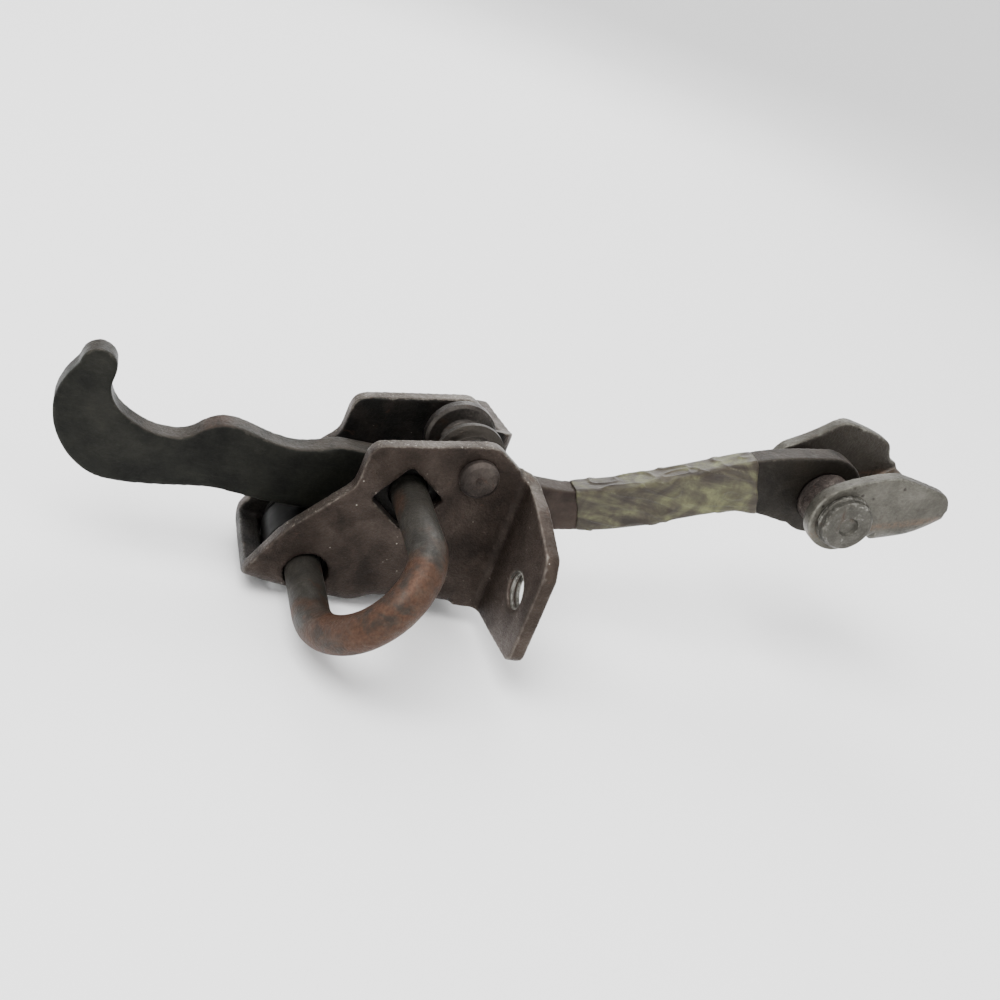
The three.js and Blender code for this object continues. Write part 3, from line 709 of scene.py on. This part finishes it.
def age(made, dents=0.05, dent_size=4.0, grain=0.015, grain_size=0.9, chips=0.0, seed=1, spread=10):
    """Uneven faces, chipped edges, and an attribute that says how sharp each spot is."""
    mesh = made.data
    points = coordinates(mesh) / MM
    out = normals(mesh)
    soft = smoothed(mesh, points, spread)
    sharp = np.sum((points - soft) * out, axis=1)
    sharp = np.clip(sharp / SHARPEST, -1, 1)
    push = dents * noise(points, dent_size, seed) + grain * noise(points, grain_size, seed + 5)
    if chips:
        bite = np.clip(noise(points, CHIP_SIZE, seed + 9) - 0.1, 0, 1) * np.clip(sharp, 0, 1)
        push -= chips * bite
    points += out * push[:, None]
    mesh.vertices.foreach_set("co", (points * MM).astype(np.float32).ravel())
    attribute = mesh.attributes.new("edge", "FLOAT", "POINT")
    attribute.data.foreach_set("value", sharp.astype(np.float32))
    mesh.update()
    mesh.shade_smooth()
    return made


def refine(made, voxel=0.3, rounds=3, **wear):
    """Even small faces all over with softly rounded edges, then wear."""
    remesh = made.modifiers.new("remesh", "REMESH")
    remesh.mode = "VOXEL"
    remesh.voxel_size = voxel * MM
    settle(made)
    points = smoothed(made.data, coordinates(made.data), rounds)
    made.data.vertices.foreach_set("co", points.astype(np.float32).ravel())
    made.data.update()
    return age(made, **wear)


def turned(name, profile, x=0.0, z=0.0, sides=96, step=0.45, fillet=0.25, place=None, **wear):
    """A closed profile of (radius, y) corners, rounded, finely divided and turned about Y."""
    corners = [(r, y, fillet if r > 0 else 0) for r, y in profile]
    on_axis = profile[0][0] == 0
    outline = rounded(corners, steps=3)
    fine = []
    for (r0, y0), (r1, y1) in zip(outline, outline[1:] + outline[:1]):
        pieces = max(1, round(math.hypot(r1 - r0, y1 - y0) / step))
        fine += [(r0 + (r1 - r0) * i / pieces, y0 + (y1 - y0) * i / pieces) for i in range(pieces)]

    def round_axis(r, y, angle):
        return at(x + r * math.cos(angle), y, z + r * math.sin(angle))

    put = place or round_axis
    if on_axis:
        vertices = [put(0, profile[0][1], 0), put(0, profile[-1][1], 0)]
        faces = []
        body = [p for p in fine if p[0] > 1e-6]
        for r, y in body:
            vertices += [put(r, y, 2 * math.pi * k / sides) for k in range(sides)]
        for ring in range(len(body) - 1):
            for k in range(sides):
                n = (k + 1) % sides
                a = 2 + ring * sides
                faces.append((a + k, a + n, a + sides + n, a + sides + k))
        last = 2 + (len(body) - 1) * sides
        faces += [(0, 2 + (k + 1) % sides, 2 + k) for k in range(sides)]
        faces += [(1, last + k, last + (k + 1) % sides) for k in range(sides)]
        made = new_object(name, vertices, faces)
    else:
        rings = [[put(r, y, 2 * math.pi * k / sides) for r, y in fine] for k in range(sides)]
        made = loft(name, rings, closed_path=True)
    return age(made, **wear)


def finish_piece(made, body, material_slot, *nodes, look=None):
    made.data.materials.clear()
    made.data.materials.append(MATERIALS[look or material_slot])
    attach(made, body)
    if nodes:
        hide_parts(*nodes)
    return made


# ---- housing ----
UNDERSIDE = [(-38.6, -32.6), (-32.0, -33.8), (-24.0, -34.7), (-17.5, -35.1), (-15.0, -34.7),
             (-13.0, -33.6), (-10.5, -33.0), (-2.0, -32.2), (8.5, -32.0)]


def channel_section(z, top):
    """A U of bent sheet across the arm, as (y, z), for an underside at height z."""
    centre_y, centre_z = HALF - BEND_OUTER, z + BEND_OUTER
    outside = [(-HALF, top)]
    outside += arc(-centre_y, centre_z, BEND_OUTER, math.pi, 1.5 * math.pi)
    outside += arc(centre_y, centre_z, BEND_OUTER, 1.5 * math.pi, 2 * math.pi)
    outside += [(HALF, top), (INNER, top)]
    inside = arc(centre_y, centre_z, BEND_OUTER - SHEET, 2 * math.pi, 1.5 * math.pi)
    inside += arc(-centre_y, centre_z, BEND_OUTER - SHEET, 1.5 * math.pi, math.pi)
    return [*outside, *inside, (-INNER, top)]


def cheek_outline(drop):
    return rounded([
        (CHANNEL["left"], BELOW, 0), (CHANNEL["left"], -29.8, 6), (-33.4, -20.2, 12),
        (-22.6, -8.0, 4), (-21.9, 1.25 - drop, 3.4), (2.2, 5.95 - drop, 4.5),
        (CHANNEL["right"], 1.6 - drop, 0.8), (CHANNEL["right"], BELOW, 0),
    ])


def flange(side):
    face, inner = FLANGE_BEND[side]["face"], FLANGE_BEND[side]["inner"]
    reach, root, drop = FLANGE["reach"], FLANGE["root"], FLANGE_BEND[side]["drop"]
    centre_x, centre_y = face - inner, HALF + inner
    profile = [(centre_x - root, INNER)]
    profile += arc(centre_x, centre_y, inner + SHEET, -math.pi / 2, 0)
    profile += [(face + SHEET, reach), (face, reach)]
    profile += arc(centre_x, centre_y, inner, 0, -math.pi / 2)
    profile += [(centre_x - root, HALF)]

    def sideways(u, v, w):
        return at(u, side * v, w)

    bent = prism("flange", profile, BELOW, 5, sideways)
    outline = rounded([
        (INNER - 1, 1.8 - drop, 0), (13.0, 0.2 - drop, 2.5), (21.0, -0.9 - drop, 3), (32.4, -4.4, 2),
        (reach, -8.0, 2), (reach, -26.6, 2), (32.4, -28.4, 2), (HALF, -31.4, 2), (INNER - 1, -31.6, 0),
    ])
    outline = [(side * y, z) for y, z in outline]
    combine(bent, prism("outline", outline, 0, 20, along_x), "INTERSECT")
    hole = circle(side * FLANGE["y"], FLANGE["z"], FLANGE["hole"])
    return combine(bent, prism("hole", hole, face - 2, face + SHEET + 2, along_x), "DIFFERENCE")


def thread(name, side):
    """The bolt thread's ridge, wound through a flange's hole."""
    turns, sides = SHEET / THREAD["pitch"], 40
    inset, flat = 0.1, 0.1
    low = FLANGE_BEND[side]["face"] + inset
    high = low + SHEET - 2 * inset
    half = THREAD["pitch"] * 0.42
    rings = []
    count = int(turns * sides)
    for i in range(count + 1):
        angle = 2 * math.pi * i / sides
        run = low + (high - low) * i / count
        fade = min(1.0, 3 * i / sides, 3 * (count - i) / sides)
        crest = THREAD["root"] - (THREAD["root"] - THREAD["crest"]) * (0.3 + 0.7 * fade)
        ring = []
        section = ((THREAD["root"], -half), (crest, -flat), (crest, flat), (THREAD["root"], half))
        for radius, shift in section:
            x = min(max(run + shift, low), high)
            y = side * FLANGE["y"] + radius * math.cos(angle)
            ring.append(at(x, y, FLANGE["z"] + radius * math.sin(angle)))
        rings.append(ring)
    made = loft(name, rings)
    made.data.shade_smooth()
    return age(made, dents=0.01, spread=1)


def housing():
    stations = spline(UNDERSIDE, 6)
    made = loft("housing_shell", [
        [at(x, y, h) for y, h in channel_section(z, CHANNEL["top"])] for x, z in stations
    ])
    combine(made, prism("cheeks", cheek_outline(0), -HALF - 1, HALF + 1), "INTERSECT")
    left, right, low, high = CHANNEL["left"] - 1.9, CHANNEL["right"] + 1, -25.0, CHANNEL["top"] + 1
    above = [(left, low), (right, low), (right, high), (left, high)]
    far_top = prism("far_top", above, 0, HALF + 1)
    combine(far_top, prism("far_cheek", cheek_outline(FAR_DROP), -1, HALF + 2), "DIFFERENCE")
    combine(made, far_top, "DIFFERENCE")
    for side in (1, -1):
        combine(made, flange(side), "UNION")
    combine(made, prism("window", WINDOW, -WINDOW_HALF, WINDOW_HALF), "DIFFERENCE")
    combine(made, prism("square", square_hole(), -HALF - 1, -INNER + 1), "DIFFERENCE")
    round_holes = (
        (ROD_HOLE["x"], ROD_HOLE["z"], ROD_HOLE["radius"]),
        (0, ROLLER_Z, PIN_RADIUS + 0.15),
    )
    for x, z, radius in round_holes:
        combine(made, prism("hole", circle(x, z, radius), -HALF - 1, HALF + 1), "DIFFERENCE")
    refine(made, voxel=0.345, dents=0.06, dent_size=6.0, grain=0.015, chips=0.1, seed=3)
    return dimple(made)


def square_hole():
    """The turned square in the near cheek that the spring rod's anchored leg passes through."""
    half, corner = SQUARE_HOLE["half"], SQUARE_HOLE["corner"]
    cos, sin = math.cos(SQUARE_HOLE["turn"]), math.sin(SQUARE_HOLE["turn"])
    corners = [(-half, -half, corner), (half, -half, corner), (half, half, corner), (-half, half, corner)]
    return [
        (SQUARE_HOLE["x"] + u * cos - v * sin, SQUARE_HOLE["z"] + u * sin + v * cos)
        for u, v in rounded(corners, 4)
    ]


def dimple(made):
    """A small round dent in the near cheek's outer face."""
    points = coordinates(made.data)
    away = (points - np.array(at(DIMPLE["x"], -HALF, DIMPLE["z"]))) / MM
    near = np.abs(away[:, 1]) < 1.0
    share = np.clip(1 - np.hypot(away[:, 0], away[:, 2]) / DIMPLE["radius"], 0, 1)
    points[:, 1] += near * DIMPLE["depth"] * MM * share * share * (3 - 2 * share)
    made.data.vertices.foreach_set("co", points.astype(np.float32).ravel())
    made.data.update()
    return made


# ---- arm ----
CAM_EDGE = [
    (-68.1, 1.0), (-68.4, -2.8), (-66.2, -6.4), (-61.5, -9.1), (-57.3, -9.9), (-53.4, -9.2),
    (-50.0, -6.5), (-47.2, -5.4), (-43.6, -5.6), (-37.5, -7.2), (-32.5, -7.5), (-28.6, -6.7),
    (-24.6, -5.4), (-20.0, -5.3), (-4.0, -5.3), (6.0, -5.3), (14.0, -5.3), (20.5, -5.7),
    (27.0, -5.2), (35.3, -2.8), (43.5, 0.6), (51.6, 4.5), (60.0, 8.3), (67.4, 11.2), (75.0, 13.3),
]
BELLY = [
    (76.5, -3.0), (70.0, -2.3), (63.5, -2.5), (57.0, -4.9), (46.2, -9.5), (35.3, -12.9),
    (24.0, -15.4), (8.0, -17.9), (-12.0, -19.8), (-32.8, -20.2), (-40.5, -19.6), (-48.0, -19.2),
    (-57.0, -20.5), (-63.0, -21.0), (-68.5, -20.6), (-73.3, -17.5), (-76.6, -12.4),
    (-77.7, -7.0), (-76.8, -2.6), (-74.6, 1.4),
]
HOOK_TIP = {"x": -71.3, "z": 1.6, "radius": 3.2}
EYE_ARC = (1.82, -2.12)


def arm():
    outline = spline(CAM_EDGE, 6)
    outline += arc(EYE["x"], EYE["z"], EYE["radius"], *EYE_ARC, 30)
    outline += spline(BELLY, 6)
    outline += arc(HOOK_TIP["x"], HOOK_TIP["z"], HOOK_TIP["radius"], 2.9, 0.1, 12)
    made = prism("arm_blade", outline, -ARM_HALF, ARM_HALF)
    bore = circle(EYE["x"], EYE["z"], EYE["bore"])
    combine(made, prism("bore", bore, -ARM_HALF - 1, ARM_HALF + 1), "DIFFERENCE")
    wear = {"dents": 0.08, "dent_size": 6.0, "grain": 0.02, "chips": 0.08}
    return refine(made, voxel=0.32, rounds=4, seed=7, **wear)


def tape():
    """A creased band round the arm, with wall thickness and worn, slanting ends."""
    heel = (EYE["x"] + EYE["radius"] * math.cos(EYE_ARC[1]), EYE["z"] + EYE["radius"] * math.sin(EYE_ARC[1]))
    per_span, first_span, last_span = 12, 12, 10
    top = np.array(spline(CAM_EDGE, per_span)[first_span * per_span:])
    bottom = np.array(spline([heel, *BELLY], per_span)[:last_span * per_span])[::-1]
    stations, around = 190, 140
    lining, thin, swell, swell_length, fade = 0.1, 0.26, 0.26, 1.2, 14
    outer, inner = [], []
    for s in range(stations + 1):
        from_end = min(s, stations - s) / stations * (TAPE["to"] - TAPE["from"])
        full = 1 - math.exp(-from_end / swell_length)
        base = TAPE["from"] + (TAPE["to"] - TAPE["from"]) * s / stations
        slant = TAPE["slant"]
        high = np.interp(base - slant * np.interp(base, *top.T), *top.T)
        low = np.interp(base - slant * np.interp(base, *bottom.T), *bottom.T)
        middle_z, reach = (high + low) / 2, (high - low) / 2
        for rings, skin, soft in ((outer, thin + swell * full, 1.1), (inner, lining, 0.7)):
            w, h = ARM_HALF + skin, reach + skin
            loop = rounded([(-w, -h, soft), (w, -h, soft), (w, h, soft), (-w, h, soft)], 5)
            rings.append([
                (base - slant * (middle_z + z), y, middle_z + z) for y, z in even(loop, around)
            ])
    outer, inner = np.array(outer), np.array(inner)
    shape = outer.shape
    flat = outer.reshape(-1, 3)
    out = (outer - outer.mean(axis=1, keepdims=True)) * (0, 1, 1)
    out = (out / np.linalg.norm(out, axis=2, keepdims=True)).reshape(-1, 3)
    drift = np.stack([noise(flat, 6.0, seed) for seed in (21, 22, 23)], 1)
    crease = 1 - np.abs(noise(flat * (0.2, 1, 1) + 0.9 * drift, 1.9, 24)) * 2.4
    crease = np.clip(crease, 0, 1) ** 2
    puff = 0.12 * noise(flat, 4.5, 25) + 0.3 * crease - 0.12
    from_end = np.minimum(np.arange(stations + 1), np.arange(stations + 1)[::-1]) / stations
    ends = np.repeat(np.clip(from_end * fade, 0.1, 1), around)
    outer = (flat + out * (puff * ends)[:, None]).reshape(shape)
    nibble = 0.35 * noise(inner.reshape(-1, 3), 2.2, 26).reshape(shape[:2])
    for rings in (outer, inner):
        rings[:, :, 0] += nibble * np.clip(1 - from_end * fade, 0, 1)[:, None]
    rings = [[at(*p) for p in ring] for ring in [*outer, *inner[::-1]]]
    made = loft("tape_band", rings, closed_path=True)
    return age(made, dents=0.0, grain=0.0, spread=6, seed=27)


def even(loop, count):
    """The same closed loop with that many points, evenly spaced."""
    points = np.array([*loop, loop[0]])
    lengths = np.concatenate([[0], np.cumsum(np.linalg.norm(np.diff(points, axis=0), axis=1))])
    places = np.linspace(0, lengths[-1], count, endpoint=False)
    return [(np.interp(p, lengths, points[:, 0]), np.interp(p, lengths, points[:, 1])) for p in places]


# ---- yoke ----
def yoke_at(u, y, v):
    """A point from the yoke's own length, width and height round its pin."""
    cos, sin = math.cos(YOKE_TURN), math.sin(YOKE_TURN)
    return at(EYE["x"] + u * cos - v * sin, y, EYE["z"] + u * sin + v * cos)


def yoke_side(u, v, w):
    return yoke_at(u, w, v)


def yoke_slab(name, outline, low, high):
    return prism(name, outline, low, high, yoke_side)


WING_END = {"radius": 7.8, "start": -0.9, "near": 2.0, "far": 2.1}
NEAR_WING_TOP = [(-2.0, 7.6), (1.5, 8.5), (7.0, 9.1), (12.0, 9.0), (14.7, 8.1), (19.2, 6.0), (23.6, 3.8),
                 (25.2, 2.5), (25.9, 0.4), (25.9, -1.2)]
FAR_WING_TOP = [(0.4, 7.9), (5.1, 9.5), (8.0, 10.8), (10.6, 11.3), (13.2, 10.3), (17.8, 7.9), (21.4, 5.6),
                (22.8, 4.0), (23.3, 1.8), (23.9, -0.1)]
WING_HEEL = [(8.3, -4.6), (6.8, -5.5)]


def wing(is_near):
    end = WING_END["near" if is_near else "far"] - 2 * math.pi
    outline = [WING_HEEL[1], *arc(0, 0, WING_END["radius"], WING_END["start"], end, 40)]
    outline += spline([outline[-1], *(NEAR_WING_TOP if is_near else FAR_WING_TOP)])[1:]
    outline += [(u, v + BEND_OUTER) for u, v in reversed(spline(WEB_OUTER, 3))]
    return [*outline, WING_HEEL[0]]


def yoke_bracket():
    made = loft("yoke_plate", [
        [yoke_at(u, y, v) for y, v in channel_section(outer, outer + BEND_OUTER + 0.3)]
        for u, outer in spline(WEB_OUTER, 3)
    ])
    combine(made, yoke_slab("near", wing(True), -HALF, -INNER), "UNION")
    combine(made, yoke_slab("far", wing(False), INNER, HALF), "UNION")
    bolt = circle(YOKE_BOLT_HOLE["u"], 0, YOKE_BOLT_HOLE["radius"])
    combine(made, prism("drill", bolt, -14, 0, yoke_at), "DIFFERENCE")
    bore = circle(0, 0, YOKE_BORE)
    combine(made, yoke_slab("bore", bore, -HALF - 1, HALF + 1), "DIFFERENCE")
    wear = {"dents": 0.09, "dent_size": 4.5, "grain": 0.015, "chips": 0.12}
    return refine(made, voxel=0.28, rounds=4, seed=11, **wear)


def round_yoke_pin(r, y, angle):
    return yoke_at(r * math.cos(angle), y, r * math.sin(angle))


def yoke_turned(name, profile, **options):
    return turned(name, profile, place=round_yoke_pin, **options)


# ---- spring rod ----
def rod_path():
    """The bent rod's centre line, in the frame."""
    anchor_end = Vector((ANCHOR_LEG["x"], ANCHOR_LEG["end"], ANCHOR_LEG["z"]))
    anchor = Vector((ANCHOR_LEG["x"], ROD_REACH["anchor"], ANCHOR_LEG["z"]))
    free = Vector((FREE_LEG["x"], ROD_REACH["free"], FREE_LEG["z"]))
    free_end = Vector((FREE_LEG["x"], FREE_LEG["end"], FREE_LEG["z"]))
    path = [anchor_end]
    for before, corner, after, radius in (
        (anchor_end, anchor, free, ROD_BEND["anchor"]), (anchor, free, free_end, ROD_BEND["free"]),
    ):
        centre, start, end, half = corner_arc(before, corner, after, radius)
        sweep, steps = math.pi - 2 * half, 28
        for i in range(steps + 1):
            t = i / steps
            way = start * math.sin((1 - t) * sweep) + end * math.sin(t * sweep)
            path.append(centre + way / math.sin(sweep))
    return [*path, free_end]


WIRE_SIDES = 56


def wire_ring(centre, side, other, radius):
    """A ring of points round the wire's centre line."""
    turns = (2 * math.pi * k / WIRE_SIDES for k in range(WIRE_SIDES))
    return [at(*(centre + (side * math.cos(t) + other * math.sin(t)) * radius)) for t in turns]


def spring_rod():
    """The wire, swept along its path without twist, with eased ends."""
    path = rod_path()
    fine = [path[0]]
    for a, b in zip(path, path[1:]):
        pieces = max(1, round((b - a).length / 0.7))
        fine += [a.lerp(b, i / pieces) for i in range(1, pieces + 1)]
    ease = 0.7
    cap = [ROD_RADIUS * 0.2, ROD_RADIUS * 0.6, ROD_RADIUS - ease]
    shoulder = ROD_RADIUS - 0.25 * ease
    side = Vector((1, 0, 0))
    rings = []
    last = len(fine) - 1
    for i, p in enumerate(fine):
        way = (fine[min(i + 1, last)] - fine[max(i - 1, 0)]).normalized()
        side = (side - way * side.dot(way)).normalized()
        other = way.cross(side)
        if i == 0:
            rings += [wire_ring(p, side, other, radius) for radius in cap]
            rings.append(wire_ring(p + way * (0.3 * ease), side, other, shoulder))
        elif i == last:
            rings.append(wire_ring(p - way * (0.3 * ease), side, other, shoulder))
            rings += [wire_ring(p, side, other, radius) for radius in reversed(cap)]
        else:
            rings.append(wire_ring(p, side, other, ROD_RADIUS))
    made = loft("spring_rod_wire", rings)
    return age(made, dents=0.06, dent_size=4.5, grain=0.012, grain_size=0.8, seed=13)


# ---- turned pieces ----
ROUGH = {"dents": 0.06, "dent_size": 2.2, "grain": 0.03, "chips": 0.25}
ROLLER_PROFILE = [
    (3.1, -HUB_HALF), (5.2, -HUB_HALF), (5.25, -5.6), (6.4, -5.1), (7.2, -4.6), (7.2, -3.5),
    (6.7, -3.0), (5.6, -2.9), (4.6, -2.75), (4.0, -2.2), (4.0, 2.2), (4.6, 2.75), (5.6, 2.9),
    (6.8, 3.1), (7.4, 3.7), (7.4, 5.4), (6.9, 5.9), (5.5, 6.1), (5.2, HUB_HALF), (3.1, HUB_HALF),
]
NYLON_PROFILE = [
    (ROD_BORE, -7.2), (5.8, -7.2), (6.4, -6.4), (7.0, -4.2),
    (7.0, 4.2), (6.4, 6.4), (5.8, 7.2), (ROD_BORE, 7.2),
]
ROLLER_PIN_PROFILE = [
    (0, -RIVET_FACE - 1.85), (0.7, -RIVET_FACE - 1.9), (1.1, -RIVET_FACE - 2.1),
    (3.2, -RIVET_FACE - 2.0), (4.0, -RIVET_FACE - 1.2), (4.0, -RIVET_FACE),
    (PIN_RADIUS, -RIVET_FACE), (PIN_RADIUS, RIVET_FACE), (4.0, RIVET_FACE),
    (4.0, RIVET_FACE + 1.2), (3.0, RIVET_FACE + 2.1), (0, RIVET_FACE + 2.1),
]


def ring_profile(inner, outer, low, high, chamfer=0.25):
    return [(inner, low), (outer - chamfer, low), (outer, low + chamfer),
            (outer, high - chamfer), (outer - chamfer, high), (inner, high)]


def on_side(side, near_middle, far_out):
    """Two distances from the middle plane, as low and high Y on one side of it."""
    return sorted((side * far_out, side * near_middle))


def add_top_roller():
    pin = turned("roller_rivet", ROLLER_PIN_PROFILE, 0, ROLLER_Z, fillet=0.2, seed=31, **ROUGH)
    finish_piece(pin, "housing", "rivet_steel", "roller_pin", look="pin_steel")
    sleeve = ring_profile(2.35, 2.95, -HUB_HALF, HUB_HALF, 0.1)
    bush = turned("hub_bush", sleeve, 0, ROLLER_Z, fillet=0.04, seed=32, dents=0.0)
    finish_piece(bush, "housing", "ring_steel", "roller_bush")
    roller = turned("top_roller", ROLLER_PROFILE, 0, ROLLER_Z, fillet=0.12, sides=128, seed=33,
                    dents=0.04, grain=0.015, chips=0.1)
    finish_piece(roller, "grooved_roller", "roller_steel", "grooved_roller")


def add_side_rings(side, name):
    """The washers of both rollers and the yoke's spacer, on one side of the arm."""
    cheek = INNER - 0.3
    profile = ring_profile(2.35, 5.5, *on_side(side, cheek - 1.7, cheek))
    washer = turned(name + "_cheek_washer", profile, 0, ROLLER_Z, fillet=0.1, seed=35, dents=0.03)
    finish_piece(washer, "housing", "ring_steel", name + "_side_washer", look="greased_shaded_steel")
    profile = ring_profile(ROD_BORE, 6.0, *on_side(side, 7.5, 8.6))
    washer = turned(name + "_rod_washer", profile, FREE_LEG["x"], FREE_LEG["z"], fillet=0.1, seed=36,
                    dents=0.03)
    finish_piece(washer, "spring_rod", "ring_steel", name + "_thrust_washer", look="greased_shaded_steel")
    profile = ring_profile(3.9, 6.2, *on_side(side, ARM_HALF + 0.3, cheek), 0.4)
    spacer = yoke_turned(name + "_spacer", profile, fillet=0.2, seed=37, **ROUGH)
    finish_piece(spacer, "yoke", "ring_steel", name + "_spacer_ring")


def add_eye_bush():
    profile = ring_profile(3.9, 5.2, -ARM_HALF, ARM_HALF, 0.15)
    bush = turned("eye_sleeve", profile, EYE["x"], EYE["z"], fillet=0.05, seed=38, dents=0.0)
    finish_piece(bush, "arm", "ring_steel", "eye_bush")


def add_rod_fittings():
    profile = ring_profile(ROD_BORE, 7.2, -8.9, -6.0, 0.4)
    collar = turned("anchor_ring", profile, ANCHOR_LEG["x"], ANCHOR_LEG["z"], fillet=0.15, seed=39,
                    dents=0.03)
    finish_piece(collar, "spring_rod", "ring_steel", "anchor_collar", look="greased_shaded_steel")
    profile = ring_profile(ROD_BORE, 6.6, HALF + 0.3, HALF + 1.3)
    clip = turned("push_clip", profile, FREE_LEG["x"], FREE_LEG["z"], fillet=0.1, seed=40, dents=0.03)
    finish_piece(clip, "spring_rod", "rivet_steel", "retaining_clip")
    roller = turned("nylon_roller", NYLON_PROFILE, FREE_LEG["x"], FREE_LEG["z"], fillet=0.3, seed=41,
                    dents=0.04, grain=0.01)
    finish_piece(roller, "lower_roller", "black_nylon", "lower_roller")


def add_yoke_pin():
    """The stepped rivet: a dished head on a collar at the near end, and a plain tail."""
    top = RIVET_FACE + 2.9
    step = RIVET_FACE + 1.0
    rivet = yoke_turned("yoke_rivet", [
        (0, -top + 0.7), (1.9, -top + 0.8), (2.3, -top + 0.1), (4.3, -top + 0.1), (4.7, -top),
        (5.3, -top), (5.8, -top + 0.5), (5.8, -step), (6.0, -step), (6.2, -step + 0.3),
        (6.2, -RIVET_FACE), (3.6, -RIVET_FACE), (3.6, RIVET_FACE), (5.6, RIVET_FACE),
        (5.6, RIVET_FACE + 1.3), (4.6, RIVET_FACE + 2.3), (0, RIVET_FACE + 2.3),
    ], fillet=0.14, step=0.3, seed=42, **ROUGH)
    finish_piece(rivet, "yoke", "rivet_steel", "yoke_pin")


# ---- scene ----
add_camera()
add_stage()
MATERIALS = make_materials()
finish_piece(housing(), "housing", "sheet_steel", "housing")
for side, name in SIDES:
    finish_piece(thread(name + "_bolt_thread", side), "housing", "sheet_steel", look="rivet_steel")
finish_piece(arm(), "arm", "arm_steel", "arm")
finish_piece(tape(), "arm", "clear_tape", "tape_wrap")
finish_piece(yoke_bracket(), "yoke", "yoke_steel", "yoke_bracket")
finish_piece(spring_rod(), "spring_rod", "spring_steel", "spring_rod")
add_top_roller()
for side, name in SIDES:
    add_side_rings(side, name)
add_eye_bush()
add_rod_fittings()
add_yoke_pin()
